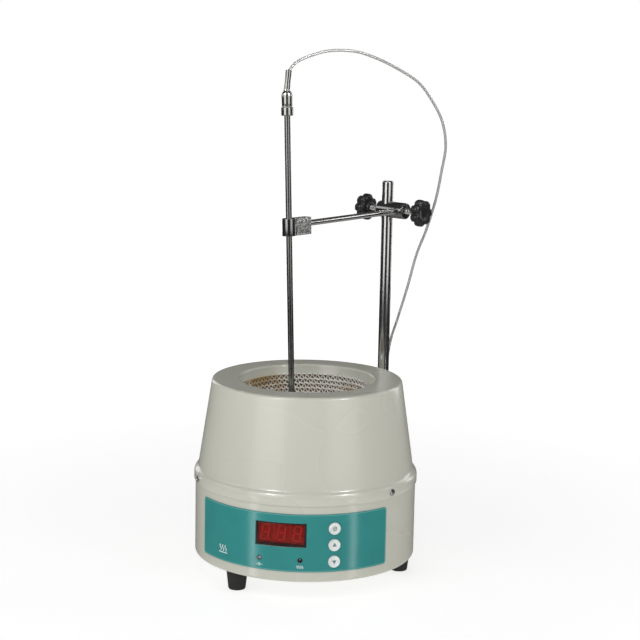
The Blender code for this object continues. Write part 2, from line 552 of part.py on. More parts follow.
def rear_fittings():
    """A tray behind the window, whose rim follows the drum's wall, and what is fitted in it."""
    low = REAR_PLATE_Y - REAR_PLATE_SHEET
    depth = REAR_TRAY_DEPTH
    panel = box("rear_panel", (REAR_TRAY[0], depth, REAR_TRAY[1]), "enamel",
                Matrix.Translation((0, low + depth / 2, REAR_WINDOW_Z)))
    hollow = (REAR_WINDOW[0], depth, REAR_WINDOW[1])
    cut(panel, box("cut_tray", hollow,
                   matrix=Matrix.Translation((0, REAR_PLATE_Y + depth / 2, REAR_WINDOW_Z))))
    inner = DRUM_RADIUS - SHEET / cos(pi / SHELL_SEGMENTS) - GAP
    keep_within(panel, rod("keep_drum", inner, 0, 200 * MM, segments=SHELL_SEGMENTS))
    outside = drum_frame(180, REAR_PLATE_Y, REAR_WINDOW_Z)

    def spot(x):
        # the frame's own X runs towards -X here
        return outside @ Matrix.Translation((-x, 0, 0))

    inlet_hole = (INLET_BODY[0] + 2 * GAP, INLET_BODY[1] + 2 * GAP, 12 * MM)
    switch_hole = (SWITCH_BODY[0] + 2 * GAP, SWITCH_BODY[1] + 2 * GAP, 12 * MM)
    cut(panel,
        box("cut_inlet", inlet_hole, matrix=spot(INLET_X)),
        box("cut_switch", switch_hole, matrix=spot(SWITCH_X)),
        rod("cut_fuse", FUSE_HOLE_RADIUS, -6 * MM, 6 * MM, matrix=spot(FUSE_X)),
        rod("cut_socket", SOCKET_HOLE_RADIUS, -6 * MM, 6 * MM, matrix=spot(SOCKET_X)))

    # power inlet: flange, body and a cavity with three blades
    inlet = box("power_inlet", INLET_FLANGE, "black_plastic",
                spot(INLET_X) @ Matrix.Translation((0, 0, GAP + INLET_FLANGE[2] / 2)))
    body = box("join_inlet", INLET_BODY,
               matrix=spot(INLET_X) @ Matrix.Translation((0, 0, -10 * MM)))
    join(inlet, body)
    cavity = box("cut_cavity", INLET_CAVITY,
                 matrix=spot(INLET_X) @ Matrix.Translation((0, 0, -6 * MM)))
    cut(inlet, cavity)
    for i, (x, y) in enumerate(BLADE_SPOTS):
        blade = box("join_blade_%d" % i, BLADE_SIZE,
                    matrix=spot(INLET_X) @ Matrix.Translation((x, y, -10 * MM)))
        join(inlet, blade)

    # rocker switch: frame and tilting rocker
    frame = box("switch_frame", SWITCH_FLANGE, "black_plastic",
                spot(SWITCH_X) @ Matrix.Translation((0, 0, GAP + SWITCH_FLANGE[2] / 2)))
    join(frame, box("join_frame", SWITCH_BODY,
                    matrix=spot(SWITCH_X) @ Matrix.Translation((0, 0, -7 * MM))))
    cut(frame, box("cut_frame", SWITCH_OPENING,
                   matrix=spot(SWITCH_X) @ Matrix.Translation((0, 0, -2 * MM))))
    tilt = Matrix.Rotation(radians(SWITCH_TILT), 4, "X")
    pivot = spot(SWITCH_X) @ Matrix.Translation((0, 0, 0.4 * MM))
    rocker = rod("power_rocker", ROCKER_RADIUS, -ROCKER_HALF_WIDTH, ROCKER_HALF_WIDTH, "black_plastic", 20,
                 pivot @ tilt @ Matrix.Rotation(pi / 2, 4, "Y"))
    hollow = Matrix.Translation((0, 0, 15.8 * MM)) @ Matrix.Rotation(pi / 2, 4, "Y")
    cut(rocker, rod("cut_rocker", 13 * MM, -10 * MM, 10 * MM, segments=40, matrix=pivot @ tilt @ hollow))

    # fuse holder and its cap
    tube_profile = [(4.4 * MM, 1.2 * MM), (7.4 * MM, 1.2 * MM), (7.4 * MM, GAP), (6.0 * MM, GAP),
                    (6.0 * MM, -26 * MM), (0, -26 * MM), (0, -22 * MM), (4.4 * MM, -22 * MM)]
    turned("fuse_holder", tube_profile, "black_plastic", 20, closed=True, matrix=spot(FUSE_X))
    cap_profile = [(0, 7 * MM), (5.4 * MM, 7 * MM), (6.2 * MM, 6.2 * MM), (6.2 * MM, 1.5 * MM),
                   (4.0 * MM, 1.5 * MM), (4.0 * MM, -20 * MM), (0, -20 * MM)]
    cap = turned("fuse_cap", cap_profile, "black_plastic", 20, closed=False, matrix=spot(FUSE_X))
    cut(cap, box("cut_cap", (1.2 * MM, 9 * MM, 3 * MM),
                 matrix=spot(FUSE_X) @ Matrix.Translation((0, 0, 7 * MM))))

    # round sensor socket, its plug and the plug's coupling ring
    socket_profile = [(5.6 * MM, 8 * MM), (7.6 * MM, 8 * MM), (7.6 * MM, 3 * MM), (8.8 * MM, 3 * MM),
                      (8.8 * MM, GAP), (7.0 * MM, GAP), (7.0 * MM, -11 * MM), (0, -11 * MM),
                      (0, -3 * MM), (5.6 * MM, -3 * MM)]
    turned("sensor_socket", socket_profile, "chrome", 24, closed=True, matrix=spot(SOCKET_X))
    plug_profile = [(0, 53 * MM), (3.4 * MM, 53 * MM), (5.0 * MM, 47 * MM), (5.6 * MM, 40 * MM),
                    (6.6 * MM, 39 * MM), (6.6 * MM, 22.0 * MM), (5.3 * MM, 21.4 * MM),
                    (5.3 * MM, -2 * MM), (0, -2 * MM)]
    turned("sensor_plug", plug_profile, "chrome", 24, closed=False, matrix=spot(SOCKET_X))
    ring_profile = [(5.6 * MM, 21 * MM), (8.6 * MM, 21 * MM), (9.2 * MM, 20 * MM), (9.2 * MM, 9.4 * MM),
                    (8.6 * MM, 8.4 * MM), (5.6 * MM, 8.4 * MM)]
    turned("plug_ring", ring_profile, "chrome", 24, closed=True, matrix=spot(SOCKET_X))


# ---------------------------------------------------------------- feet and shell screws

def feet():
    for number, azimuth in enumerate(FOOT_AZIMUTHS, 1):
        a = radians(azimuth)
        place = Matrix.Translation((FOOT_CIRCLE * sin(a), -FOOT_CIRCLE * cos(a), 0))
        top = FOOT_HEIGHT - GAP
        profile = [(0, top), (FOOT_TOP_RADIUS, top), (FOOT_BOTTOM_RADIUS + 0.5 * MM, 1.2 * MM),
                   (FOOT_BOTTOM_RADIUS - 0.7 * MM, 0), (3.8 * MM, 0), (3.8 * MM, 6 * MM), (0, 6 * MM)]
        turned("foot_%d" % number, profile, "rubber", 20, closed=False, matrix=place)


def shell_screws():
    for number, azimuth in enumerate(SCREW_AZIMUTHS, 1):
        place = drum_frame(azimuth, SKIRT_RADIUS + GAP, SCREW_Z)
        dome = sqrt(3) * SCREW_HEAD_RADIUS
        profile = arc(0, 2.1 * MM - dome, dome, 90, 62, 2)[:-1]
        profile += [(SCREW_HEAD_RADIUS, 0.9 * MM), (SCREW_HEAD_RADIUS, 0), (0, 0)]
        turned("shell_screw_%d" % number, profile, "chrome", 16, closed=False, matrix=place)


# ---------------------------------------------------------------- stand rod and boss head

def boss_axis():
    a = radians(BOSS_ANGLE)
    return Vector((cos(a), sin(a), 0))


def arm_bore():
    return ROD_POSITION + boss_axis() * ARM_OFFSET + Vector((0, 0, BOSS_Z))


def arm_direction():
    return (CLIP_POINT - arm_bore()).normalized()


def stand():
    rod_place = Matrix.Translation(ROD_POSITION)
    # bracket: a round collar with a foot that stands off the drum's wall
    outward = Vector((ROD_POSITION.x, ROD_POSITION.y, 0)).normalized()
    azimuth = degrees(acos(-outward.y))
    bracket = rod("rod_bracket", BRACKET_RADIUS, BRACKET_Z[0], BRACKET_Z[1], "aluminium", 24, rod_place)
    middle_z = (BRACKET_Z[0] + BRACKET_Z[1]) / 2
    web_radius = (DRUM_RADIUS + ROD_POSITION.length) / 2
    web = drum_frame(azimuth, web_radius, middle_z)
    join(bracket, box("join_web", (15 * MM, BRACKET_Z[1] - BRACKET_Z[0], 9 * MM), matrix=web))
    drum = rod("cut_drum", DRUM_RADIUS + GAP, 0, 150 * MM, segments=SHELL_SEGMENTS)
    bore = rod("cut_bracket", ROD_RADIUS + BORE_GAP, ROD_FOOT_Z - GAP, 150 * MM, segments=24,
               matrix=rod_place)
    screw_way = along(ROD_POSITION + Vector((0, 0, BRACKET_SCREW_Z)), outward)
    tapped = rod("cut_tapped", 2.6 * MM, 0, 30 * MM, segments=12, matrix=screw_way)
    cut(bracket, drum, bore, tapped)
    screw = rod("rod_set_screw", 2.3 * MM, ROD_RADIUS + GAP, 17 * MM, "chrome", 12, screw_way)
    head = rod("join_screw_head", 6.5 * MM, 12.4 * MM, 20 * MM, segments=16, matrix=screw_way)
    join(screw, head)
    rod("stand_rod", ROD_RADIUS, ROD_FOOT_Z, ROD_TOP_Z, "steel", 24, rod_place, bevel=0.8 * MM)


def star_knob(name, place):
    """A lobed knob with a hub; its own Z points away from the boss."""
    count = KNOB_LOBES * 6
    mesh = bpy.data.meshes.new(name)
    bm = bmesh.new()
    bmesh.ops.create_cone(bm, cap_ends=True, segments=count, radius1=1, radius2=1, depth=KNOB_THICKNESS)
    for vert in bm.verts:
        angle = Vector((1, 0)).angle_signed(Vector((vert.co.x, vert.co.y)))
        size = KNOB_RADIUS + KNOB_LOBE * cos(KNOB_LOBES * angle)
        vert.co.x *= size
        vert.co.y *= size
    bmesh.ops.translate(bm, vec=(0, 0, KNOB_STANDOFF + KNOB_THICKNESS / 2), verts=bm.verts)
    bm.to_mesh(mesh)
    bm.free()
    knob = new_object(name, mesh, "black_plastic", place)
    edge = knob.modifiers.new("edges", "BEVEL")
    edge.width = 1.6 * MM
    edge.segments = 1
    edge.limit_method = "ANGLE"
    edge.angle_limit = radians(60)
    hub = rod("join_hub_" + name, 6 * MM, KNOB_STANDOFF - 3 * MM, KNOB_STANDOFF + 2 * MM, segments=20,
              matrix=place)
    join(knob, hub)
    cut(knob, rod("cut_" + name, CLAMP_SCREW_RADIUS + GAP, 0, KNOB_STANDOFF + SCREW_INTO_KNOB + GAP,
                  segments=16, matrix=place))


def boss():
    axis = boss_axis()
    centre = ROD_POSITION + Vector((0, 0, BOSS_Z))
    place = along(centre, axis)
    head = rod("boss_head", BOSS_RADIUS, BOSS_SPAN[0], BOSS_SPAN[1], "boss_steel", 24, place,
               bevel=0.8 * MM)
    rod_bore = rod("cut_rod_bore", ROD_RADIUS + BORE_GAP, BOSS_Z - 20 * MM, BOSS_Z + 20 * MM,
                   segments=24, matrix=Matrix.Translation(ROD_POSITION))
    arm_bore_cut = rod("cut_arm_bore", ARM_RADIUS + BORE_GAP, -20 * MM, 20 * MM, segments=16,
                       matrix=along(arm_bore(), arm_direction()))
    rod_screw_bore = rod("cut_rod_screw_bore", CLAMP_SCREW_RADIUS + BORE_GAP, 3 * MM, 60 * MM,
                         segments=16, matrix=along(centre, -axis))
    arm_screw_bore = rod("cut_arm_screw_bore", CLAMP_SCREW_RADIUS + BORE_GAP, 1 * MM, 60 * MM,
                         segments=16, matrix=along(arm_bore(), axis))
    cut(head, rod_bore, arm_bore_cut, rod_screw_bore, arm_screw_bore)

    left_place = along(centre + axis * BOSS_SPAN[0], -axis)
    inner = -BOSS_SPAN[0] - ROD_RADIUS - 2 * GAP
    rod("rod_clamp_screw", CLAMP_SCREW_RADIUS, -inner, KNOB_STANDOFF + SCREW_INTO_KNOB, "chrome", 16,
        left_place)
    star_knob("rod_clamp_knob", left_place)
    right_place = along(centre + axis * BOSS_SPAN[1], axis)
    inner = BOSS_SPAN[1] - ARM_OFFSET - ARM_RADIUS - 2 * GAP
    rod("arm_clamp_screw", CLAMP_SCREW_RADIUS, -inner, KNOB_STANDOFF + SCREW_INTO_KNOB, "chrome", 16,
        right_place)
    star_knob("arm_clamp_knob", right_place)


# ---------------------------------------------------------------- arm, clip and probe

def probe_axis():
    """Up the probe: it leans a little, by a turn of the clip on the arm."""
    lean = radians(PROBE_LEAN)
    return Vector((0, 0, 1)) * cos(lean) - boss_axis() * sin(lean)


def arm_and_clip():
    direction = arm_direction()
    reach = (CLIP_POINT - arm_bore()).length
    arm_end = reach - JAW_RADIUS - 4 * MM
    place = along(arm_bore(), direction)
    rod("arm_rod", ARM_RADIUS, -ARM_TAIL, arm_end, "steel", 16, place, bevel=0.5 * MM)

    up = probe_axis()
    side = direction.cross(up).normalized()
    # in the clip's frame X is across the arm, Y is up the probe, Z runs back along the arm
    frame = Matrix((side, up, side.cross(up))).transposed().to_4x4()
    frame = Matrix.Translation(CLIP_POINT) @ frame
    start = JAW_RADIUS - 1.0 * MM
    block = box("probe_clip", (CLIP_WIDTH, CLIP_HEIGHT, CLIP_LENGTH), "zinc",
                frame @ Matrix.Translation((0, -CLIP_DROP, start + CLIP_LENGTH / 2)), bevel=0.6 * MM)
    arm_hole = rod("cut_arm_hole", ARM_RADIUS + BORE_GAP, arm_end - 70 * MM, arm_end + GAP,
                   segments=16, matrix=place)
    upright = Matrix.Rotation(-pi / 2, 4, "X")
    jaw_seat = rod("cut_jaw_seat", JAW_RADIUS + GAP, -20 * MM, 20 * MM, segments=24,
                   matrix=frame @ upright)
    cut(block, arm_hole, jaw_seat)
    jaw = rod("clip_jaw", JAW_RADIUS, -CLIP_HEIGHT / 2 - CLIP_DROP, CLIP_HEIGHT / 2 - CLIP_DROP,
              "jaw_steel", 24, frame @ upright, bevel=0.5 * MM)
    cut(jaw, rod("cut_jaw", PROBE_RADIUS + BORE_GAP, -20 * MM, 20 * MM, segments=20,
                 matrix=frame @ upright))


def probe():
    up = probe_axis()
    place = along(CLIP_POINT, up)
    collar_low = PROBE_ABOVE_CLIP
    rod("probe_tube", PROBE_RADIUS, collar_low - PROBE_LENGTH, collar_low + 3 * MM, "steel", 16, place,
        bevel=0.8 * MM)
    collar_high = collar_low + COLLAR_HEIGHT
    collar = rod("probe_collar", COLLAR_RADIUS, collar_low, collar_high, "steel", 24, place,
                 bevel=0.6 * MM)
    cut(collar, rod("cut_collar", PROBE_RADIUS + GAP, collar_low - 2 * MM, collar_low + 3 * MM + GAP,
                    segments=16, matrix=place))
    barrel_low = collar_high + GAP
    barrel_high = barrel_low + BARREL_HEIGHT
    profile = [(0, barrel_high + 3.2 * MM), (SLEEVE_RADIUS + 0.4 * MM, barrel_high + 3.2 * MM),
               (BARREL_RADIUS, barrel_high), (BARREL_RADIUS - 0.2 * MM, barrel_low), (0, barrel_low)]
    barrel = turned("probe_sleeve", profile, "steel", 20, closed=False, matrix=place)
    foot = place @ Vector((0, 0, barrel_high + 2 * MM))
    reach = sleeve_tip() - foot
    sleeve = rod("join_sleeve", SLEEVE_RADIUS, 0, reach.length, segments=20, matrix=along(foot, reach))
    join(barrel, sleeve)


def sleeve_tip():
    """The crimped sleeve's top leans over towards the lead's loop."""
    up = probe_axis()
    return CLIP_POINT + up * (PROBE_ABOVE_CLIP + SLEEVE_TOP[1]) + Vector((SLEEVE_TOP[0], 0, 0))


# ---------------------------------------------------------------- sensor lead

def smooth_route(points, per_span):
    """A Catmull-Rom curve through the route's points."""
    out = []
    ends = [points[0] * 2 - points[1]] + points + [points[-1] * 2 - points[-2]]
    for i in range(1, len(ends) - 2):
        a, b, c, d = ends[i - 1:i + 3]
        for step in range(per_span):
            t = step / per_span
            out.append(0.5 * (2 * b + (c - a) * t + (2 * a - 5 * b + 4 * c - d) * t * t
                              + (3 * b - a - 3 * c + d) * t ** 3))
    out.append(points[-1])
    return out


def distances(points):
    total = [0.0]
    for a, b in zip(points, points[1:]):
        total.append(total[-1] + (b - a).length)
    return total


def point_at(points, lengths, wanted):
    for i in range(1, len(points)):
        if lengths[i] >= wanted or i == len(points) - 1:
            part = (wanted - lengths[i - 1]) / (lengths[i] - lengths[i - 1])
            return points[i - 1].lerp(points[i], min(1, max(0, part)))


def sensor_lead():
    """Five tubes on one route, with a small gap at each join."""
    per_span = 12
    route = [Vector(p) * MM for p in LEAD_POINTS_MM]
    fine = smooth_route(route, per_span)
    lengths = distances(fine)
    spacing = lengths[-1] / LEAD_TUBE_POINTS
    for name, (first, last) in LEAD_JOINS.items():
        start = lengths[first * per_span]
        end = lengths[last * per_span]
        if first:
            start += GAP / 2
        if last < len(route) - 1:
            end -= GAP / 2
        steps = max(4, round((end - start) / spacing))
        points = [point_at(fine, lengths, start + (end - start) * i / steps) for i in range(steps + 1)]
        tube(name, points, LEAD_RADIUS, "braid")


def centre_footprint():
    """Moves everything forwards, so that the origin is the middle of the footprint."""
    for obj in list(PARTS.objects) + list(CUTTERS.objects):
        if obj.parent is None:
            obj.location.y -= FOOTPRINT_MIDDLE_Y


holes = lower_shell()
upper_shell()
panel_overlay(holes)
display()
leds()
buttons()
bowl()
inside()
rear_fittings()
feet()
shell_screws()
stand()
boss()
arm_and_clip()
probe()
sensor_lead()
centre_footprint()
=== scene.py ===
"""Looks of a laboratory heating mantle with a stand rod, boss head, side arm and temperature probe.

Metres, +Z up, with the front panel facing -Y. As in the model's source, everything is laid out about the
drum's axis, and azimuths run about it from the front (-Y) towards +X. The last step moves the pieces
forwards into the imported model's frame, whose origin is at the middle of the whole footprint.
"""
import json
from math import atan2, ceil, cos, pi, radians, sin, sqrt, tan

import bmesh
import bpy
from mathutils import Matrix, Vector, noise

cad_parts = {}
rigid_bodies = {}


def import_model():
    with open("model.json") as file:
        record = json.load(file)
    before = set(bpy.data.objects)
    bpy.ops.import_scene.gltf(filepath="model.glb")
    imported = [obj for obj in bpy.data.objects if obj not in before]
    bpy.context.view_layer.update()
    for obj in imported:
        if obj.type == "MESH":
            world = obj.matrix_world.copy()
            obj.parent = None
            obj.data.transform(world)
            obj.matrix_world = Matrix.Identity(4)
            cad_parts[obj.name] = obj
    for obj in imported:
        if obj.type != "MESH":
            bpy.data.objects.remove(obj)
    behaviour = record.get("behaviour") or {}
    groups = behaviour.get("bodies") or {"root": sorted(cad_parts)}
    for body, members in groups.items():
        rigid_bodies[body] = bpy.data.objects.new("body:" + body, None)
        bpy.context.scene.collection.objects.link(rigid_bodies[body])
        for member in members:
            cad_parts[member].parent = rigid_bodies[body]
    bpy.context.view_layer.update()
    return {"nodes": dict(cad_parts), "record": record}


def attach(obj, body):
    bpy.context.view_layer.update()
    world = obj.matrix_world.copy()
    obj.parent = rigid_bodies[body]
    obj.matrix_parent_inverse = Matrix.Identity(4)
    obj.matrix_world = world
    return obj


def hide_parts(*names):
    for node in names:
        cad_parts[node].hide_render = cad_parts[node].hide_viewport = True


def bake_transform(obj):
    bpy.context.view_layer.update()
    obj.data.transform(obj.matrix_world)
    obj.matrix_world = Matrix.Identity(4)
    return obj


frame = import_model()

MM = 0.001
GAP = 0.3 * MM
BORE_GAP = 0.25 * MM
SCENE = bpy.context.scene
INTO_FRAME = Vector((0, -8.5 * MM, 0))
DRAWN = []

# ---------------------------------------------------------------- driving sizes

FOOT_HEIGHT = 20 * MM
DRUM_RADIUS = 114.0 * MM
DRUM_BASE_Z = FOOT_HEIGHT
SHEET = 1.4 * MM
SKIRT_RADIUS = 115.4 * MM
SKIRT_Z = DRUM_BASE_Z + 77.7 * MM
SKIRT_TOP_Z = DRUM_BASE_Z + 84.6 * MM
RING_Z = DRUM_BASE_Z + 182.4 * MM
CONE_ANGLE = 8.5
HOLE_RADIUS = 69.6 * MM
LIP_DEPTH = 9.5 * MM
LIP_TAPER = 2.4 * MM
BOWL_RADIUS = 67.0 * MM
BOWL_CENTRE_Z = RING_Z - LIP_DEPTH - 1.0 * MM

PANEL_HALF_ANGLE = 53.5
PANEL_Z = (DRUM_BASE_Z + 11.2 * MM, DRUM_BASE_Z + 69.6 * MM)
PANEL_RADIUS = DRUM_RADIUS + GAP
PANEL_THICKNESS = 0.5 * MM
DISPLAY_AZIMUTH = -3.5
DISPLAY_Z = DRUM_BASE_Z + 48.2 * MM
DISPLAY_SIZE = (51.0 * MM, 24.0 * MM)
DISPLAY_DEPTH = 3.6 * MM
DIGIT_SIZE = (15.6 * MM, 19.0 * MM, 8.0 * MM)
DIGIT_PITCH = 16.0 * MM
LED_RADIUS = 2.3 * MM
LED_Z = DRUM_BASE_Z + 22.9 * MM
LED_AZIMUTHS = {"set_led": -14.2, "heat_led": 6.4}
BUTTON_RADIUS = 6.0 * MM
BUTTON_AZIMUTH = 23.3
BUTTON_HEIGHTS = {"set_button": 55.2 * MM, "up_button": 38.4 * MM, "down_button": 21.6 * MM}

REAR_PLATE_Y = 101.0 * MM
REAR_WINDOW = (92.0 * MM, 44.0 * MM)
REAR_WINDOW_Z = DRUM_BASE_Z + 42 * MM

FOOT_AZIMUTHS = (-34.0, 96.0, 211.0)
FOOT_CIRCLE = 99.5 * MM
SCREW_AZIMUTHS = (-61.5, 56.5, 176.0)
SCREW_HEAD_RADIUS = 3.6 * MM
SCREW_Z = DRUM_BASE_Z + 83.4 * MM

ROD_POSITION = Vector((67.7 * MM, 103.0 * MM, 0))
ROD_RADIUS = 6.0 * MM
ROD_FOOT_Z = DRUM_BASE_Z + 15 * MM
ROD_TOP_Z = DRUM_BASE_Z + 378 * MM
BOSS_ANGLE = -34.4
BOSS_Z = DRUM_BASE_Z + 348 * MM
BOSS_RADIUS = 8.6 * MM
BOSS_SPAN = (-10.0 * MM, 26.2 * MM)
ARM_OFFSET = 18.0 * MM
CLAMP_SCREW_RADIUS = 2.8 * MM
KNOB_RADIUS = 13.0 * MM
KNOB_LOBE = 1.3 * MM
KNOB_LOBES = 7
KNOB_THICKNESS = 10.3 * MM
KNOB_STANDOFF = 15.2 * MM
ARM_RADIUS = 3.0 * MM
ARM_TAIL = 12.5 * MM
CLIP_POINT = Vector((-13.9 * MM, -48.1 * MM, DRUM_BASE_Z + 345 * MM))
CLIP_HEIGHT = 17.4 * MM
CLIP_DROP = 1.5 * MM
CLIP_LENGTH = 21.6 * MM
CLIP_WIDTH = 10.0 * MM
JAW_RADIUS = 6.8 * MM
PROBE_LEAN = 2.5
PROBE_RADIUS = 3.0 * MM
PROBE_LENGTH = 300.0 * MM
PROBE_ABOVE_CLIP = 107.9 * MM
COLLAR_RADIUS = 6.0 * MM
COLLAR_HEIGHT = 8.6 * MM
BARREL_RADIUS = 5.4 * MM
BARREL_HEIGHT = 12.6 * MM
SLEEVE_RADIUS = 3.0 * MM
SLEEVE_TOP = (2.3 * MM, 43.0 * MM)

LEAD_DIAMETER = 3.0 * MM
LEAD_POINTS_MM = [
    (-35.0, 154.5, 62.0), (-35.0, 170.0, 60.5), (-34.0, 188.0, 50.0), (-36.0, 203.0, 31.0),
    (-44.0, 216.0, 12.0), (-58.0, 224.0, 2.6), (-78.0, 223.0, 1.8), (-96.0, 208.0, 1.8),
    (-98.0, 185.0, 1.8), (-82.0, 167.0, 1.8), (-54.0, 160.0, 1.8), (-25.0, 161.0, 4.0),
    (2.0, 163.0, 17.0), (24.0, 156.0, 45.0), (42.0, 143.0, 85.0), (56.0, 131.0, 128.0),
    (66.0, 122.0, 175.0), (73.0, 117.5, 221.0), (80.0, 118.0, 246.0), (90.0, 118.5, 282.0),
    (99.0, 116.0, 318.0), (110.0, 107.0, 348.0), (120.0, 94.0, 382.0), (126.0, 82.0, 413.0),
    (130.0, 72.0, 439.0), (126.5, 61.0, 465.0), (116.0, 49.0, 487.0), (103.0, 37.0, 505.0),
    (84.0, 24.0, 518.0), (64.0, 10.0, 528.5), (43.0, -3.0, 535.5), (19.5, -18.0, 536.0),
    (0.3, -31.0, 530.4), (-10.6, -39.7, 524.5), (-16.9, -44.0, 516.9),
]
LEAD_PER_SPAN = 12
# each stretch: first and last route point, the body it starts on and the body it ends on
LEAD_STRETCHES = {
    "lead_bench": (0, 18, "base", "stand"),
    "lead_riser": (18, 22, "stand", "boss"),
    "lead_side": (22, 25, "boss", "arm"),
    "lead_bow": (25, 29, "arm", "clip"),
    "lead_top": (29, 34, "clip", "probe"),
}


# ---------------------------------------------------------------- camera

CAMERA_AT = Vector((0.2560, -1.7333, 0.5709))
CAMERA_HEADING = 8.01
CAMERA_PITCH = -9.97
CAMERA_ROLL = 1.1
CAMERA_LENS = 97.7


def make_camera():
    heading, pitch, roll = (radians(a) for a in (CAMERA_HEADING, CAMERA_PITCH, CAMERA_ROLL))
    forward = Vector((-sin(heading) * cos(pitch), cos(heading) * cos(pitch), sin(pitch)))
    right = Vector((cos(heading), sin(heading), 0))
    up = right.cross(forward)
    tilted_right = right * cos(roll) + up * sin(roll)
    tilted_up = up * cos(roll) - right * sin(roll)
    data = bpy.data.cameras.new("camera")
    data.lens = CAMERA_LENS
    data.sensor_width = 36
    camera = bpy.data.objects.new("camera", data)
    SCENE.collection.objects.link(camera)
    turn = Matrix((tilted_right, tilted_up, -forward)).transposed().to_4x4()
    camera.matrix_world = Matrix.Translation(CAMERA_AT + INTO_FRAME) @ turn
    SCENE.camera = camera


for stray in [o for o in SCENE.objects if o.name in ("Cube", "Light", "Camera")]:
    bpy.data.objects.remove(stray, do_unlink=True)
make_camera()


# ---------------------------------------------------------------- mesh helpers

def link_object(name, mesh):
    obj = bpy.data.objects.new(name, mesh)
    SCENE.collection.objects.link(obj)
    return obj


def finish_piece(name, mesh, mat, body=None, node=None, matrix=None, angle=None):
    """Shows a mesh that rides on a body and may stand for a CAD node; edges past the angle are sharp."""
    mesh.shade_smooth()
    obj = link_object(name, mesh)
    DRAWN.append(obj)
    if matrix is not None:
        mesh.transform(matrix)
    mesh.materials.append(MATS[mat])
    if body:
        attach(obj, body)
    if node:
        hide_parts(node)
    if angle:
        sharp_by_angle(obj, angle)
    return obj


def make_piece(name, verts, faces, mat, body=None, node=None, slot=None, matrix=None, angle=None):
    """The same from vertices and faces; with an angle the faces are also turned outwards."""
    mesh = bpy.data.meshes.new(name)
    mesh.from_pydata([tuple(v) for v in verts], [], [tuple(f) for f in faces])
    mesh.validate()
    obj = finish_piece(name, mesh, mat, body, node, matrix)
    if angle:
        faces_out(mesh)
        sharp_by_angle(obj, angle)
    return obj


def arc(centre_r, centre_z, radius, start, end, steps):
    """Points of a profile's round stretch, from one angle to another in degrees."""
    points = []
    for i in range(steps + 1):
        a = radians(start + (end - start) * i / steps)
        points.append((centre_r + radius * cos(a), centre_z + radius * sin(a)))
    return points


def rounded(points, radius, steps=4, closed=False):
    """The outline with each of its sharp corners rounded; a point may carry its own radius."""
    out = []
    count = len(points)
    for i, point in enumerate(points):
        own = point[2] if len(point) > 2 else radius
        here = Vector(point[:2])
        if (not closed and i in (0, count - 1)) or own <= 0:
            out.append(tuple(here))
            continue
        before = Vector(points[i - 1][:2]) - here
        after = Vector(points[(i + 1) % count][:2]) - here
        if before.length < 1e-9 or after.length < 1e-9:
            out.append(tuple(here))
            continue
        half = before.angle(after) / 2
        reach = min(own / max(tan(half), 0.05), before.length * 0.49, after.length * 0.49)
        a = here + before.normalized() * reach
        b = here + after.normalized() * reach
        for s in range(steps + 1):
            t = s / steps
            out.append(tuple(a * (1 - t) ** 2 + here * 2 * t * (1 - t) + b * t * t))
    return out


def lathe(profile, segments, closed=False):
    """Vertices and faces of a turned shape. A radius may be a function of the angle, and points on the
    axis are merged into one."""
    verts, rings = [], []
    for radius, z in profile:
        if not callable(radius) and radius < 1e-7:
            rings.append([len(verts)] * segments)
            verts.append((0, 0, z))
            continue
        rings.append(list(range(len(verts), len(verts) + segments)))
        for i in range(segments):
            a = 2 * pi * i / segments
            r = radius(a) if callable(radius) else radius
            verts.append((r * cos(a), r * sin(a), z))
    faces = []
    for low, high in zip(rings, rings[1:] + (rings[:1] if closed else [])):
        for i in range(segments):
            j = (i + 1) % segments
            corners = list(dict.fromkeys((low[i], low[j], high[j], high[i])))
            if len(corners) > 2:
                faces.append(corners)
    return verts, faces


def tube_faces(rings, around, closed=False, base=0):
    """Faces between rings of vertices, with a cap at each end unless they close into a loop."""
    faces = []
    for i in range(rings if closed else rings - 1):
        n = (i + 1) % rings
        for j in range(around):
            k = (j + 1) % around
            faces.append((base + i * around + j, base + i * around + k,
                          base + n * around + k, base + n * around + j))
    if not closed:
        faces.append(tuple(range(around))[::-1])
        faces.append(tuple(range((rings - 1) * around, rings * around)))
    return faces


def prism(flats, low_z, high_z, walled=False):
    """Flat outlines with their faces, raised from one height to another; walled also stands a wall
    between neighbouring faces."""
    verts, faces = [], []
    for points, own in flats:
        low, high = len(verts), len(verts) + len(points)
        verts += [Vector((x, y, z)) for z in (low_z, high_z) for x, y in points]
        edges = {}
        for face in own:
            faces.append(tuple(high + i for i in face))
            faces.append(tuple(low + i for i in reversed(face)))
            edges.update(dict.fromkeys(zip(face, face[1:] + face[:1])))
        faces += [(low + a, low + b, high + b, high + a) for a, b in edges
                  if walled or (b, a) not in edges]
    return verts, faces


def faces_out(mesh):
    bm = bmesh.new()
    bm.from_mesh(mesh)
    bmesh.ops.remove_doubles(bm, verts=bm.verts, dist=1e-7)
    bmesh.ops.recalc_face_normals(bm, faces=bm.faces)
    bm.to_mesh(mesh)
    bm.free()


def sharp_by_angle(obj, angle=32):
    obj.data.shade_smooth()
    obj.data.set_sharp_from_angle(angle=radians(angle))
    return obj


def turned(name, profile, mat, body=None, node=None, slot=None, segments=64, matrix=None, closed=False,
           angle=32):
    return make_piece(name, *lathe(profile, segments, closed), mat, body, node, slot, matrix, angle)


def drum_frame(azimuth, radius, height):
    """A frame on the drum: X along its wall, Y up, Z straight out."""
    turn = Matrix.Rotation(radians(azimuth), 4, "Z") @ Matrix.Rotation(pi / 2, 4, "X")
    a = radians(azimuth)
    return Matrix.Translation((radius * sin(a), -radius * cos(a), height)) @ turn


def along(point, direction):
    """A frame at a point whose Z runs along a direction."""
    return Matrix.Translation(point) @ Vector(direction).to_track_quat("Z", "Y").to_matrix().to_4x4()


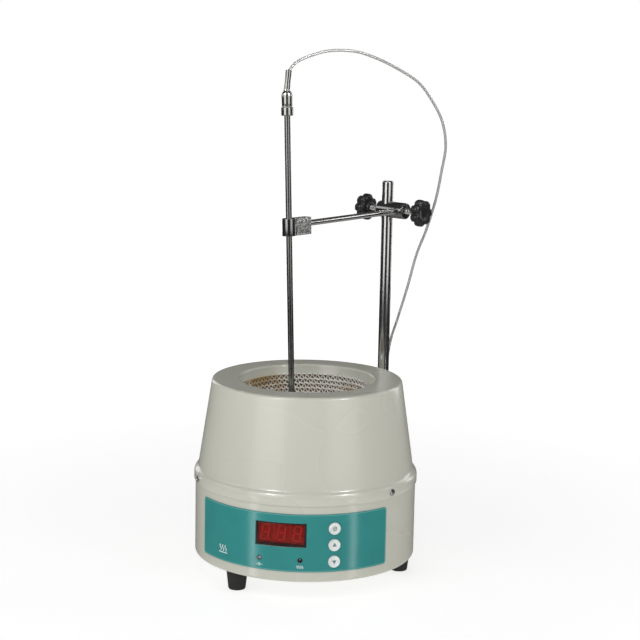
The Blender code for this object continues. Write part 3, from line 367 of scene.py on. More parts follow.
def box_mesh(size, matrix=None, bevel=0.0, segments=3):
    """A block with rounded edges, as a mesh."""
    mesh = bpy.data.meshes.new("block")
    bm = bmesh.new()
    bmesh.ops.create_cube(bm, size=1.0)
    bmesh.ops.scale(bm, vec=size, verts=bm.verts)
    if bevel:
        bmesh.ops.bevel(bm, geom=bm.edges[:], offset=bevel, segments=segments, profile=0.5,
                        affect="EDGES")
    bm.to_mesh(mesh)
    bm.free()
    if matrix is not None:
        mesh.transform(matrix)
    return mesh


def apply_booleans(obj, meshes, operation="DIFFERENCE"):
    """Cuts the meshes out of obj for good, or joins them to it."""
    tools = [link_object("tool", mesh) for mesh in meshes]
    for tool in tools:
        modifier = obj.modifiers.new("tool", "BOOLEAN")
        modifier.operation = operation
        modifier.solver = "EXACT"
        modifier.object = tool
    bake_modifiers(obj)
    for tool in tools:
        bpy.data.objects.remove(tool, do_unlink=True)


def bake_modifiers(obj):
    bpy.context.view_layer.update()
    graph = bpy.context.evaluated_depsgraph_get()
    mesh = bpy.data.meshes.new_from_object(obj.evaluated_get(graph))
    obj.modifiers.clear()
    obj.data = mesh


def bevel_edges(obj, width, segments=3, angle=30):
    modifier = obj.modifiers.new("edges", "BEVEL")
    modifier.width = width
    modifier.segments = segments
    modifier.limit_method = "ANGLE"
    modifier.angle_limit = radians(angle)
    bake_modifiers(obj)


def carved(name, mesh, cutters, mat, body, node, bevel, matrix=None, angle=30, joined=()):
    """A block with meshes joined to it, others cut out, and its edges rounded."""
    raw = link_object(name + "_raw", mesh)
    if joined:
        apply_booleans(raw, joined, "UNION")
    apply_booleans(raw, cutters)
    bevel_edges(raw, *bevel)
    mesh = raw.data
    bpy.data.objects.remove(raw, do_unlink=True)
    return finish_piece(name, mesh, mat, body, node, matrix, angle)


def cylinder_mesh(radius, low, high, segments, matrix=None):
    verts, faces = lathe([(0, low), (radius, low), (radius, high), (0, high)], segments)
    mesh = bpy.data.meshes.new("cylinder")
    mesh.from_pydata(verts, [], faces)
    faces_out(mesh)
    if matrix is not None:
        mesh.transform(matrix)
    return mesh


def smooth_route(points, per_span):
    """A Catmull-Rom curve through the route's points."""
    out = []
    ends = [points[0] * 2 - points[1]] + points + [points[-1] * 2 - points[-2]]
    for i in range(1, len(ends) - 2):
        a, b, c, d = ends[i - 1:i + 3]
        for step in range(per_span):
            t = step / per_span
            out.append(0.5 * (2 * b + (c - a) * t + (2 * a - 5 * b + 4 * c - d) * t * t
                              + (3 * b - a - 3 * c + d) * t ** 3))
    out.append(points[-1])
    return out


def carried_frames(points):
    """Tangent and two cross directions at each point, carried along without twist."""
    frames = []
    side = None
    for i, point in enumerate(points):
        tangent = (points[min(i + 1, len(points) - 1)] - points[max(i - 1, 0)]).normalized()
        if side is None:
            side = tangent.orthogonal().normalized()
        side = (side - tangent * side.dot(tangent)).normalized()
        frames.append((tangent, side, tangent.cross(side)))
    return frames


# ---------------------------------------------------------------- materials

class Nodes:
    """A short way to write a material's node tree."""

    def __init__(self, name, colour, roughness, metallic=0.0, **sockets):
        self.material = bpy.data.materials.new(name)
        self.material.use_nodes = True
        self.tree = self.material.node_tree
        self.shader = self.tree.nodes["Principled BSDF"]
        self.shader.inputs["Base Color"].default_value = (*colour, 1)
        self.shader.inputs["Roughness"].default_value = roughness
        self.shader.inputs["Metallic"].default_value = metallic
        for socket, value in sockets.items():
            self.shader.inputs[socket.replace("_", " ")].default_value = value
        self.coords = self.tree.nodes.new("ShaderNodeTexCoord")

    def node(self, kind, inputs=None, **settings):
        made = self.tree.nodes.new("ShaderNode" + kind)
        for key, value in settings.items():
            setattr(made, key, value)
        for key, value in (inputs or {}).items():
            self.put(made.inputs[key], value)
        return made

    def put(self, socket, value):
        if isinstance(value, bpy.types.NodeSocket):
            self.tree.links.new(value, socket)
        else:
            socket.default_value = value

    def point(self, scale=(1, 1, 1)):
        return self.node("Mapping", {"Vector": self.coords.outputs["Object"], "Scale": scale}).outputs[0]

    def noise(self, scale, detail, stretch=(1, 1, 1)):
        made = self.node("TexNoise", {"Vector": self.point(stretch), "Scale": scale, "Detail": detail})
        return made.outputs[0]

    def cells(self, scale):
        return self.node("TexVoronoi", {"Vector": self.point(), "Scale": scale}).outputs["Distance"]

    def remap(self, value, low, high, to_low, to_high, smooth=False):
        made = self.node("MapRange", {"Value": value, "From Min": low, "From Max": high,
                                      "To Min": to_low, "To Max": to_high})
        if smooth:
            made.interpolation_type = "SMOOTHSTEP"
        return made.outputs[0]

    def mix(self, factor, a, b):
        made = self.node("Mix", data_type="RGBA")
        self.put(made.inputs[0], factor)
        self.put(made.inputs[6], (*a, 1) if isinstance(a, tuple) else a)
        self.put(made.inputs[7], (*b, 1) if isinstance(b, tuple) else b)
        return made.outputs[2]

    def math(self, operation, a, b=0.0):
        made = self.node("Math", operation=operation)
        self.put(made.inputs[0], a)
        self.put(made.inputs[1], b)
        return made.outputs[0]

    def set(self, socket, value):
        self.put(self.shader.inputs[socket], value)

    def bump(self, height, strength, distance):
        made = self.node("Bump", {"Height": height, "Strength": strength, "Distance": distance})
        self.set("Normal", made.outputs[0])


def shade(colour, factor):
    return tuple(min(1.0, c * factor) for c in colour)


def enamel():
    """Stove enamel on pressed sheet: faint orange peel and a slow drift of tone and gloss."""
    base = (0.60, 0.60, 0.52)
    n = Nodes("enamel", base, 0.24, Coat_Weight=0.3, Coat_Roughness=0.14)
    drift = n.remap(n.noise(9, 1), 0.1, 0.9, 0, 1)
    n.set("Base Color", n.mix(drift, shade(base, 0.97), shade(base, 1.025)))
    n.set("Roughness", n.remap(n.noise(12, 1), 0.1, 0.9, 0.25, 0.29))
    n.bump(n.noise(420, 1), 0.02, 0.0001)
    return n.material


def label_film():
    """Printed polyester film, satin, with a fine grain."""
    base = (0.033, 0.262, 0.253)
    n = Nodes("label_film", base, 0.34)
    n.set("Base Color", n.mix(n.remap(n.noise(40, 3), 0.3, 0.7, 0, 1), shade(base, 0.96), shade(base, 1.05)))
    n.set("Roughness", n.remap(n.noise(900, 2), 0.3, 0.7, 0.19, 0.23))
    n.bump(n.noise(2600, 1), 0.15, 0.00004)
    return n.material


def plastic(name, base, roughness, grain=1500, depth=0.00005, variation=0.06, **sockets):
    """Moulded plastic with a fine spark-eroded grain."""
    n = Nodes(name, base, roughness, **sockets)
    drift = n.remap(n.noise(120, 3), 0.3, 0.7, 0, 1)
    n.set("Base Color", n.mix(drift, shade(base, 1 - variation), shade(base, 1 + variation)))
    n.set("Roughness", n.remap(n.noise(300, 3), 0.3, 0.7, roughness * 0.85, roughness * 1.15))
    n.bump(n.noise(grain, 2), 0.3, depth)
    return n.material


def metal(name, base, roughness, stretch=(1, 1, 1), scale=400, streak=0.10, depth=0.000003):
    """Metal with drawn or turned marks along one direction and faint handling smears."""
    n = Nodes(name, base, roughness, 1.0)
    lines = n.noise(scale, 4, stretch)
    smear = n.noise(45, 3)
    n.set("Base Color", n.mix(n.remap(lines, 0.3, 0.7, 0, 1), shade(base, 1 - streak), base))
    mixed = n.math("ADD", n.math("MULTIPLY", lines, 0.5), n.math("MULTIPLY", smear, 0.5))
    n.set("Roughness", n.remap(mixed, 0.3, 0.7, roughness * 0.8, roughness * 1.2))
    n.bump(lines, 0.2, depth)
    return n.material


MATS = {
    "enamel": enamel(),
    "label": label_film(),
    "print_white": plastic("print_white", (0.72, 0.80, 0.78), 0.45),
    "print_pale": plastic("print_pale", (0.11, 0.38, 0.36), 0.45),
    "black": plastic("black_plastic", (0.018, 0.018, 0.019), 0.42),
    "knob": plastic("knob_plastic", (0.012, 0.012, 0.013), 0.36, grain=700, depth=0.00012),
    "button": plastic("button_plastic", (0.78, 0.83, 0.81), 0.38),
    "glyph": plastic("glyph_print", (0.16, 0.24, 0.23), 0.5),
    "rubber": plastic("foot_rubber", (0.022, 0.022, 0.021), 0.72, grain=900, depth=0.00015),
    "steel": metal("polished_steel", (0.58, 0.57, 0.56), 0.16, (1, 1, 0.02)),
    "chrome": metal("bright_plate", (0.88, 0.88, 0.87), 0.24),
    "board": plastic("circuit_board", (0.02, 0.15, 0.07), 0.5, variation=0.25),
    "aluminium": metal("mill_aluminium", (0.66, 0.67, 0.68), 0.34, (1, 0.05, 1)),
    "winding": metal("copper_winding", (0.42, 0.17, 0.06), 0.35, (1, 1, 6)),
    "lamination": metal("lamination", (0.2, 0.2, 0.21), 0.5, (0.03, 1, 1), 900),
    "wire": metal("heater_wire", (0.33, 0.31, 0.29), 0.4),
    "wool": plastic("mineral_wool", (0.78, 0.76, 0.68), 0.95, grain=600, depth=0.0006),
    "boss": metal("boss_metal", (0.28, 0.28, 0.28), 0.2),
}

NODE_MATERIALS = {
    "body_enamel": "enamel", "front_label": "label", "black_plastic": "black", "knob_plastic": "knob",
    "display_window": "black", "digit_plastic": "print_white", "led_lens": "print_white",
    "button_plastic": "button", "polished_steel": "steel", "chrome": "chrome", "foot_rubber": "rubber",
    "glass_fibre": "wool", "insulation": "wool", "heater_wire": "wire", "aluminium": "aluminium",
    "copper_winding": "winding", "lamination": "lamination", "circuit_board": "board",
    "boss_metal": "boss", "zinc_casting": "aluminium", "lead_braid": "steel",
}


def dress_nodes():
    """Each CAD node that stays shown gets its slot's procedural material."""
    for part in frame["record"]["subparts"]:
        obj = frame["nodes"][part["node"]]
        obj.data.materials.clear()
        obj.data.materials.append(MATS[NODE_MATERIALS[part["material_slot"]]])


dress_nodes()


# ---------------------------------------------------------------- sensor lead

BRAID_STRANDS = 4
BRAID_RING_STEP = 0.55 * MM
BRAID_PITCH = 4.4 * MM
BRAID_RELIEF = 0.20 * MM


def braid_material():
    """Fine steel braid: crossed strands as bump and colour, from the tube's own coordinates; the near-black
    colour between the strands is painted shade.
    """
    base = (0.74, 0.74, 0.72)
    n = Nodes("lead_braid", base, 0.36, 0.6)
    uv = n.node("UVMap", uv_map="braid").outputs[0]
    split = n.node("SeparateXYZ", {"Vector": uv})
    u, v = split.outputs[0], split.outputs[1]
    crossed = []
    for sign in (1, -1):
        lane = n.math("ADD", n.math("MULTIPLY", u, BRAID_STRANDS), n.math("MULTIPLY", v, sign))
        wave = n.math("SINE", n.math("MULTIPLY", lane, 2 * pi))
        crossed.append(n.remap(wave, -1, 1, 0, 1))
    weave = n.math("MAXIMUM", crossed[0], crossed[1])
    grime = n.remap(n.noise(90, 4), 0.35, 0.65, 0, 1)
    # painted shade: the gaps between the crossed strands are coloured near black
    tone = n.mix(weave, (0.14, 0.14, 0.13), base)
    n.set("Base Color", n.mix(n.math("MULTIPLY", grime, 0.2), tone, shade(base, 0.6)))
    n.set("Roughness", n.remap(weave, 0, 1, 0.55, 0.3))
    n.bump(weave, 0.6, 0.00025)
    return n.material


MATS["braid"] = braid_material()


def braided_tube(node, points):
    """A round tube whose surface stands up in crossed strands; also its line and length."""
    lengths = [0.0]
    for a, b in zip(points, points[1:]):
        lengths.append(lengths[-1] + (b - a).length)
    count = max(8, round(lengths[-1] / BRAID_RING_STEP))
    line, place = [], 0
    for i in range(count + 1):
        wanted = lengths[-1] * i / count
        while place < len(points) - 2 and lengths[place + 1] < wanted:
            place += 1
        part = (wanted - lengths[place]) / (lengths[place + 1] - lengths[place])
        line.append(points[place].lerp(points[place + 1], min(1, max(0, part))))
    frames = carried_frames(line)
    around = 24
    verts = []
    for i, (point, (_, side, other)) in enumerate(zip(line, frames)):
        run = lengths[-1] * i / count / BRAID_PITCH
        for j in range(around):
            u = j / around
            one = 0.5 + 0.5 * sin(2 * pi * (BRAID_STRANDS * u + run))
            two = 0.5 + 0.5 * sin(2 * pi * (BRAID_STRANDS * u - run))
            radius = LEAD_DIAMETER / 2 - BRAID_RELIEF + BRAID_RELIEF * max(one, two)
            angle = 2 * pi * u
            verts.append(point + side * (radius * cos(angle)) + other * (radius * sin(angle)))
    obj = make_piece(node + "_braid", verts, tube_faces(count + 1, around), "braid")
    layer = obj.data.uv_layers.new(name="braid")
    for poly in obj.data.polygons:
        for loop in poly.loop_indices:
            vertex = obj.data.loops[loop].vertex_index
            layer.data[loop].uv = ((vertex % around) / around,
                                   vertex // around * BRAID_RING_STEP / BRAID_PITCH)
    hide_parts(node)
    return obj, line, lengths[-1]


def sensor_lead():
    route = [Vector(p) * MM + INTO_FRAME for p in LEAD_POINTS_MM]
    fine = smooth_route(route, LEAD_PER_SPAN)
    for node, (first, last, body_a, body_b) in LEAD_STRETCHES.items():
        points = fine[first * LEAD_PER_SPAN:last * LEAD_PER_SPAN + 1]
        obj, line, length = braided_tube(node, points)
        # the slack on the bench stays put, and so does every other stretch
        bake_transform(obj)


sensor_lead()
DRAWN.clear()


# ---------------------------------------------------------------- drum and cone

def sheet_turned(outer, thickness, node):
    """A turned sheet: the outer line runs from its inner or upper free edge outwards and down."""
    inner = []
    for i in range(len(outer)):
        here = Vector(outer[i])
        before = Vector(outer[i - 1]) if i else None
        after = Vector(outer[i + 1]) if i < len(outer) - 1 else None
        normals = []
        for a, b in ((before, here), (here, after)):
            if a is not None and b is not None and (b - a).length > 1e-9:
                run = (b - a).normalized()
                normals.append(Vector((run.y, -run.x)))
        total = sum(normals, Vector((0, 0))).normalized()
        stretch = 1 / max(0.5, total.dot(normals[0]))
        moved = here + total * thickness * stretch
        inner.append((max(0.0, moved.x), moved.y))
    return turned(node + "_enamel", outer + inner[::-1], "enamel", "base", node, "body_enamel", 256,
                  closed=True, angle=40)


def upper_shell():
    convex, concave, flare_angle, shoulder, lip_round = 7.0 * MM, 5.5 * MM, 50.0, 3.2 * MM, 2.4 * MM
    flare = arc(SKIRT_RADIUS - convex, SKIRT_TOP_Z, convex, flare_angle, 0, 12)
    meet_r, meet_z = flare[0]
    fillet_r = meet_r + concave * cos(radians(flare_angle))
    fillet_z = meet_z + concave * sin(radians(flare_angle))
    fillet = arc(fillet_r, fillet_z, concave, 180 + CONE_ANGLE, 180 + flare_angle, 10)
    cone_r, cone_z = fillet[0]
    shoulder_z = RING_Z - shoulder
    top_z = shoulder_z + shoulder * sin(radians(CONE_ANGLE))
    top_r = cone_r - (top_z - cone_z) * tan(radians(CONE_ANGLE))
    bend = arc(top_r - shoulder * cos(radians(CONE_ANGLE)), shoulder_z, shoulder, 90, CONE_ANGLE, 12)
    lip = arc(HOLE_RADIUS + lip_round, RING_Z - lip_round, lip_round, 180, 90, 8)
    cone = [(top_r + (cone_r - top_r) * i / 12, top_z + (cone_z - top_z) * i / 12) for i in range(1, 12)]
    ring_r = lip[-1][0]
    ring = [(ring_r + (bend[0][0] - ring_r) * i / 4, RING_Z) for i in range(1, 4)]
    outer = [(HOLE_RADIUS - LIP_TAPER, RING_Z - LIP_DEPTH)] + lip + ring + bend + cone + fillet + flare[1:]
    outer += [(SKIRT_RADIUS, SKIRT_Z + 0.4 * MM), (SKIRT_RADIUS - 0.3 * MM, SKIRT_Z)]
    sheet_turned(outer, 0.9 * MM, "upper_shell")


def lower_shell():
    corner = arc(DRUM_RADIUS - 3 * MM, DRUM_BASE_Z + 3 * MM, 3 * MM, 0, -90, 12)
    top = DRUM_BASE_Z + 84.2 * MM
    wall = [(DRUM_RADIUS, top + (corner[0][1] - top) * i / 10) for i in range(10)]
    floor = [(corner[-1][0] * (1 - i / 4), DRUM_BASE_Z) for i in range(1, 5)]
    shell = sheet_turned(wall + corner + floor, SHEET, "lower_shell")
    window = (DISPLAY_SIZE[0] + 2 * GAP, DISPLAY_SIZE[1] + 2 * GAP, 16 * MM)
    cutters = [box_mesh(window, drum_frame(DISPLAY_AZIMUTH, DRUM_RADIUS, DISPLAY_Z))]
    for azimuth in LED_AZIMUTHS.values():
        cutters.append(cylinder_mesh(LED_RADIUS + GAP, -8 * MM, 8 * MM, 32,
                                     drum_frame(azimuth, DRUM_RADIUS, LED_Z)))
    for height in BUTTON_HEIGHTS.values():
        cutters.append(cylinder_mesh(BUTTON_RADIUS + GAP, -8 * MM, 8 * MM, 48,
                                     drum_frame(BUTTON_AZIMUTH, DRUM_RADIUS, DRUM_BASE_Z + height)))
    cutters.append(box_mesh((REAR_WINDOW[0], 30 * MM, REAR_WINDOW[1]),
                            Matrix.Translation((0, DRUM_RADIUS - 8 * MM, REAR_WINDOW_Z))))
    apply_booleans(shell, cutters)
    sharp_by_angle(shell, 40)


upper_shell()
lower_shell()


# ---------------------------------------------------------------- front label and its print

def rounded_rect(width, height, radius, step=1.5 * MM, shift=(0.0, 0.0)):
    """Evenly spaced points round a rounded rectangle."""
    corners = []
    for cx, cy, start in ((1, 1, 0), (-1, 1, 90), (-1, -1, 180), (1, -1, 270)):
        for i in range(7):
            a = radians(start + 15 * i)
            corners.append(Vector((cx * (width / 2 - radius) + radius * cos(a),
                                   cy * (height / 2 - radius) + radius * sin(a))))
    out = []
    for a, b in zip(corners, corners[1:] + corners[:1]):
        parts = max(1, ceil((b - a).length / step))
        out += [a.lerp(b, i / parts) for i in range(parts)]
    return [p + Vector(shift) for p in out]


def ring_outline(outer, inner):
    """Faces between two outlines of equal count."""
    count = len(outer)
    faces = [(i, (i + 1) % count, count + (i + 1) % count, count + i) for i in range(count)]
    return list(outer) + list(inner), faces


def wrap(point, lift, centre_z, azimuth=0.0):
    """A flat point (along, up) laid on the drum's wall at a radius."""
    a = radians(azimuth) + point[0] / DRUM_RADIUS
    return Vector((lift * sin(a), -lift * cos(a), centre_z + point[1]))


def flat_print(name, flats, mat, azimuth, height):
    """Printed marks: flat outlines with faces, given a little thickness and laid on the label."""
    verts, faces = prism(flats, PRINT_AT, PRINT_AT + PRINT_THICKNESS)
    verts = [wrap(v, v.z, height, azimuth) for v in verts]
    make_piece(name, verts, faces, mat, "base", slot="front_label", angle=40)


def stroke(points, width):
    """A flat band along a line."""
    verts, faces = [], []
    for i, point in enumerate(points):
        run = (points[min(i + 1, len(points) - 1)] - points[max(i - 1, 0)]).normalized()
        across = Vector((-run.y, run.x)) * width / 2
        verts += [point + across, point - across]
    for i in range(len(points) - 1):
        faces.append((2 * i, 2 * i + 1, 2 * i + 3, 2 * i + 2))
    return verts, faces


def circle(radius, centre, count):
    return [Vector(centre) + Vector((radius * cos(2 * pi * i / count), radius * sin(2 * pi * i / count)))
            for i in range(count)]


def disc(radius, centre=(0, 0), count=32):
    return circle(radius, centre, count), [tuple(range(count))]


def circle_ring(radius, width):
    return ring_outline(circle(radius, (0, 0), 40), circle(radius - width, (0, 0), 40))


def heat_waves(width, height, count, line):
    """Rising-heat sign: a row of upright waves."""
    flats = []
    for k in range(count):
        x = (k - (count - 1) / 2) * width / count
        points = [Vector((x + 0.16 * width / count * 2 * sin(2 * pi * t / 12), height * (t / 12 - 0.5)))
                  for t in range(13)]
        flats.append(stroke(points, line))
    return flats


PRINT_AT = PANEL_RADIUS + PANEL_THICKNESS
PRINT_THICKNESS = 0.06 * MM


def panel():
    width = 2 * radians(PANEL_HALF_ANGLE) * DRUM_RADIUS
    height = PANEL_Z[1] - PANEL_Z[0]
    centre_z = (PANEL_Z[0] + PANEL_Z[1]) / 2
    mesh = bpy.data.meshes.new("label")
    bm = bmesh.new()
    outline = rounded_rect(width, height, 3.0 * MM)
    bottom = bm.faces.new([bm.verts.new((p.x, p.y, 0)) for p in outline])
    raised = bmesh.ops.extrude_face_region(bm, geom=[bottom])
    bmesh.ops.translate(bm, vec=(0, 0, PANEL_THICKNESS),
                        verts=[v for v in raised["geom"] if isinstance(v, bmesh.types.BMVert)])
    bmesh.ops.recalc_face_normals(bm, faces=bm.faces)
    bm.to_mesh(mesh)
    bm.free()
    label = link_object("label", mesh)
    window = (DISPLAY_SIZE[0] + 0.5 * MM, DISPLAY_SIZE[1] + 0.5 * MM, 10 * MM)
    cutters = [box_mesh(window, Matrix.Translation((radians(DISPLAY_AZIMUTH) * DRUM_RADIUS,
                                                    DISPLAY_Z - centre_z, 0)))]
    for azimuth in LED_AZIMUTHS.values():
        spot = Matrix.Translation((radians(azimuth) * DRUM_RADIUS, LED_Z - centre_z, 0))
        cutters.append(cylinder_mesh(LED_RADIUS + GAP, -5 * MM, 5 * MM, 40, spot))
    for key in BUTTON_HEIGHTS.values():
        spot = Matrix.Translation((radians(BUTTON_AZIMUTH) * DRUM_RADIUS, DRUM_BASE_Z + key - centre_z, 0))
        cutters.append(cylinder_mesh(BUTTON_RADIUS + GAP, -5 * MM, 5 * MM, 56, spot))
    apply_booleans(label, cutters)
    bm = bmesh.new()
    bm.from_mesh(label.data)
    step = 1.5 * MM
    for i in range(1, int(width / step)):
        x = -width / 2 + i * step
        geometry = bm.verts[:] + bm.edges[:] + bm.faces[:]
        bmesh.ops.bisect_plane(bm, geom=geometry, plane_co=(x, 0, 0), plane_no=(1, 0, 0), dist=1e-6)
    for vert in bm.verts:
        vert.co = wrap(vert.co, PANEL_RADIUS + vert.co.z, centre_z)
    bm.to_mesh(label.data)
    bm.free()
    mesh = label.data
    bpy.data.objects.remove(label, do_unlink=True)
    finish_piece("label_film", mesh, "label", "base", "panel_overlay", angle=40)

    inset = 0.55 * MM
    line = 0.75 * MM
    outer = rounded_rect(width - 2 * inset, height - 2 * inset, 2.5 * MM)
    half_w, half_h = width / 2 - inset, height / 2 - inset
    inner = [Vector((p.x * (half_w - line) / half_w, p.y * (half_h - line) / half_h)) for p in outer]
    flat_print("label_border", [ring_outline(outer, inner)], "print_pale", 0, centre_z)

    marks = heat_waves(11 * MM, 6.0 * MM, 3, 0.9 * MM)
    marks.append(stroke([Vector((x * MM, -4.6 * MM)) for x in range(-6, 7)], 0.9 * MM))
    flat_print("heat_sign", marks, "print_white", -36.5, DRUM_BASE_Z + 24.5 * MM)
    small = heat_waves(7 * MM, 3.0 * MM, 4, 0.62 * MM)
    flat_print("heat_led_sign", small, "print_white", LED_AZIMUTHS["heat_led"], LED_Z - 6.6 * MM)
    target = [circle_ring(1.6 * MM, 0.55 * MM), disc(0.5 * MM, count=16)]
    target += [stroke([Vector((s * 2.5 * MM, 0)), Vector((s * 3.6 * MM, 0))], 0.6 * MM) for s in (-1, 1)]
    flat_print("set_led_sign", target, "print_white", LED_AZIMUTHS["set_led"], LED_Z - 6.6 * MM)


panel()


# ---------------------------------------------------------------- display, lamps and keys

def display_materials():
    n = Nodes("display_window", (0.84, 0.19, 0.16), 0.09, Transmission_Weight=0.94, IOR=1.25)
    n.set("Roughness", n.remap(n.noise(200, 3), 0.3, 0.7, 0.05, 0.13))
    MATS["lens"] = n.material
    MATS["digit_face"] = plastic("digit_face", (0.20, 0.05, 0.05), 0.5, variation=0.12)
    MATS["segment"] = plastic("digit_segment", (0.62, 0.30, 0.25), 0.45, variation=0.08)
    MATS["module_edge"] = plastic("module_edge", (0.98, 0.30, 0.22), 0.5)
    for name, base, dark, light in (
            ("led_clear", (0.42, 0.40, 0.46), (0.16, 0.16, 0.19), (0.36, 0.35, 0.38)),
            ("led_dark", (0.03, 0.03, 0.04), (0.012, 0.02, 0.03), (0.05, 0.04, 0.05))):
        n = Nodes(name, base, 0.2 if name == "led_clear" else 0.15, Coat_Weight=0.6)
        n.set("Base Color", n.mix(n.remap(n.noise(700, 2), 0.4, 0.6, 0, 1), dark, light))
        MATS[name] = n.material


def display():
    place = drum_frame(DISPLAY_AZIMUTH, DRUM_RADIUS, DISPLAY_Z)
    width, height = DISPLAY_SIZE
    back, front = -DISPLAY_DEPTH - 3 * MM, -DISPLAY_DEPTH + 1.2 * MM
    rim = 1.6 * MM
    middle = Matrix.Translation((0, 0, (back + front) / 2))
    opening = box_mesh((width - 2 * rim, height - 2 * rim, 20 * MM))
    carved("bezel_frame", box_mesh((width, height, front - back), middle), [opening], "black", "base",
           "display_bezel", (0.3 * MM, 2), place)
    lens = box_mesh((width - 2 * rim - 2 * GAP, height - 2 * rim - 2 * GAP, 1.5 * MM),
                    place @ Matrix.Translation((0, 0, -DISPLAY_DEPTH)), 0.2 * MM, 2)
    finish_piece("display_filter", lens, "lens", "base", "display_lens", angle=30)
    digits(place, back)


SEGMENT_WIDTH = 1.25 * MM
SEGMENT_THICKNESS = 0.25 * MM
DIGIT_HEIGHT = 14.2 * MM
DIGIT_WIDTH = 6.9 * MM
DIGIT_SLANT = 0.16


def segment_shapes():
    """The seven bars of a digit and its point, as flat six-cornered outlines."""
    w, h, t = DIGIT_WIDTH / 2, DIGIT_HEIGHT / 2, SEGMENT_WIDTH / 2
    gap = 0.25 * MM
    bars = []
    ends = [((-w, h), (w, h)), ((w, h), (w, 0)), ((w, 0), (w, -h)), ((w, -h), (-w, -h)),
            ((-w, -h), (-w, 0)), ((-w, 0), (-w, h)), ((-w, 0), (w, 0))]
    for a, b in ends:
        a, b = Vector(a), Vector(b)
        run = (b - a).normalized()
        across = Vector((-run.y, run.x))
        a, b = a + run * gap, b - run * gap
        bars.append([a, a + run * t + across * t, b - run * t + across * t, b,
                     b - run * t - across * t, a + run * t - across * t])
    bars.append(disc(0.8 * MM, (w + 2.0 * MM, -h), 20)[0])
    return [[Vector((p.x + DIGIT_SLANT * p.y, p.y)) for p in bar] for bar in bars]


def digits(place, back):
    face = back - GAP
    for name, x in (("digit_left", -DIGIT_PITCH), ("digit_middle", 0.0), ("digit_right", DIGIT_PITCH)):
        at = place @ Matrix.Translation((x, 0, face - DIGIT_SIZE[2] / 2))
        finish_piece(name + "_module", box_mesh(DIGIT_SIZE, at, 0.3 * MM, 2), "digit_face", "base", name,
                     angle=30)
        bars = [(outline, [tuple(range(len(outline)))]) for outline in segment_shapes()]
        make_piece(name + "_segments", *prism(bars, 0, SEGMENT_THICKNESS), "segment", "base",
                   slot="digit_plastic", angle=20,
                   matrix=place @ Matrix.Translation((x - 0.6 * MM, 0, face + 0.02 * MM)))
    for side, x in (("left", -DIGIT_PITCH / 2), ("right", DIGIT_PITCH / 2)):
        rib = box_mesh((0.5 * MM, DIGIT_SIZE[1] - 1 * MM, 0.5 * MM),
                       place @ Matrix.Translation((x, 0, face + 0.1 * MM)), 0.1 * MM, 2)
        finish_piece("digit_gap_" + side, rib, "module_edge", "base", angle=30)


def lamps():
    for name, azimuth in LED_AZIMUTHS.items():
        dome = arc(0, 0, LED_RADIUS - 0.25 * MM, 90, 0, 12)
        profile = dome + [(LED_RADIUS - 0.25 * MM, -0.9 * MM), (LED_RADIUS, -1.0 * MM), (LED_RADIUS, -2 * MM)]
        profile += [(LED_RADIUS, -6 * MM), (0, -6 * MM)]
        place = drum_frame(azimuth, DRUM_RADIUS - 1.3 * MM, LED_Z)
        turned(name + "_dome", profile, "led_clear" if name == "set_led" else "led_dark", "base",
               name, "led_lens", 32, place)
        collar = [(LED_RADIUS + 0.24 * MM, 0.7 * MM), (LED_RADIUS + 0.24 * MM, -1.2 * MM),
                  (LED_RADIUS + 0.02 * MM, -1.2 * MM), (LED_RADIUS + 0.02 * MM, 0.7 * MM)]
        turned(name + "_bush", collar, "black", "base", slot="black_plastic", segments=32,
               matrix=place, closed=True)


def keys():
    r = BUTTON_RADIUS
    for name, height in BUTTON_HEIGHTS.items():
        place = drum_frame(BUTTON_AZIMUTH, DRUM_RADIUS, DRUM_BASE_Z + height)
        dish = [(r * 0.72 * i / 6, 1.75 * MM + 0.12 * MM * (i / 6) ** 2) for i in range(7)]
        profile = dish + rounded([(r * 0.74, 1.87 * MM), (r * 0.80, 2.4 * MM), (r * 0.93, 2.4 * MM),
                                  (r, 1.85 * MM), (r, 0.5 * MM), (r, -1 * MM)], 0.35 * MM)[1:]
        profile += [(r, -4 * MM), (0, -4 * MM)]
        turned(name + "_cap", profile, "button", name, name, "button_plastic", 64, place)
        size = 2.6 * MM
        if name == "set_button":
            flats = [circle_ring(2.25 * MM, 0.6 * MM), disc(0.8 * MM, count=20)]
        else:
            turn = 1 if name == "up_button" else -1
            points = [Vector((size * sin(2 * pi * k / 3), turn * size * cos(2 * pi * k / 3)))
                      for k in range(3)]
            flats = [(points, [(0, 1, 2)])]
        make_piece(name + "_glyph", *prism(flats, 1.74 * MM, 1.90 * MM, True), "glyph", name,
                   slot="button_plastic", matrix=place, angle=20)


display_materials()
display()
lamps()
keys()


# ---------------------------------------------------------------- knitted bowl

KNIT_ROW = 5.0 * MM
KNIT_STITCH = 5.8 * MM
YARN_RADIUS = 0.68 * MM


def knit_material():
    """Glass-fibre yarn: cream white, silky, browner in noise patches towards the bowl's left and right sides.
    """
    base = (0.95, 0.93, 0.88)
    n = Nodes("glass_fibre_yarn", base, 0.5, Sheen_Weight=0.35, Sheen_Roughness=0.4)
    split = n.node("SeparateXYZ", {"Vector": n.point()})
    sideways = n.math("ABSOLUTE", split.outputs[0])
    patchy = n.remap(n.noise(60, 3), 0.38, 0.56, 0, 1, True)
    # brown in noise patches, stronger towards the left and right sides of the bowl
    side_brown = n.math("MULTIPLY", patchy, n.remap(sideways, 0.022, 0.055, 0.05, 1, True))
    fibre = n.noise(2400, 2)
    tone = n.mix(n.remap(fibre, 0.3, 0.7, 0, 1), shade(base, 0.82), base)
    n.set("Base Color", n.mix(n.math("MULTIPLY", side_brown, 0.85), tone, (0.50, 0.33, 0.10)))
    n.set("Roughness", n.remap(fibre, 0.3, 0.7, 0.45, 0.7))
    n.bump(fibre, 0.4, 0.00012)
    return n.material


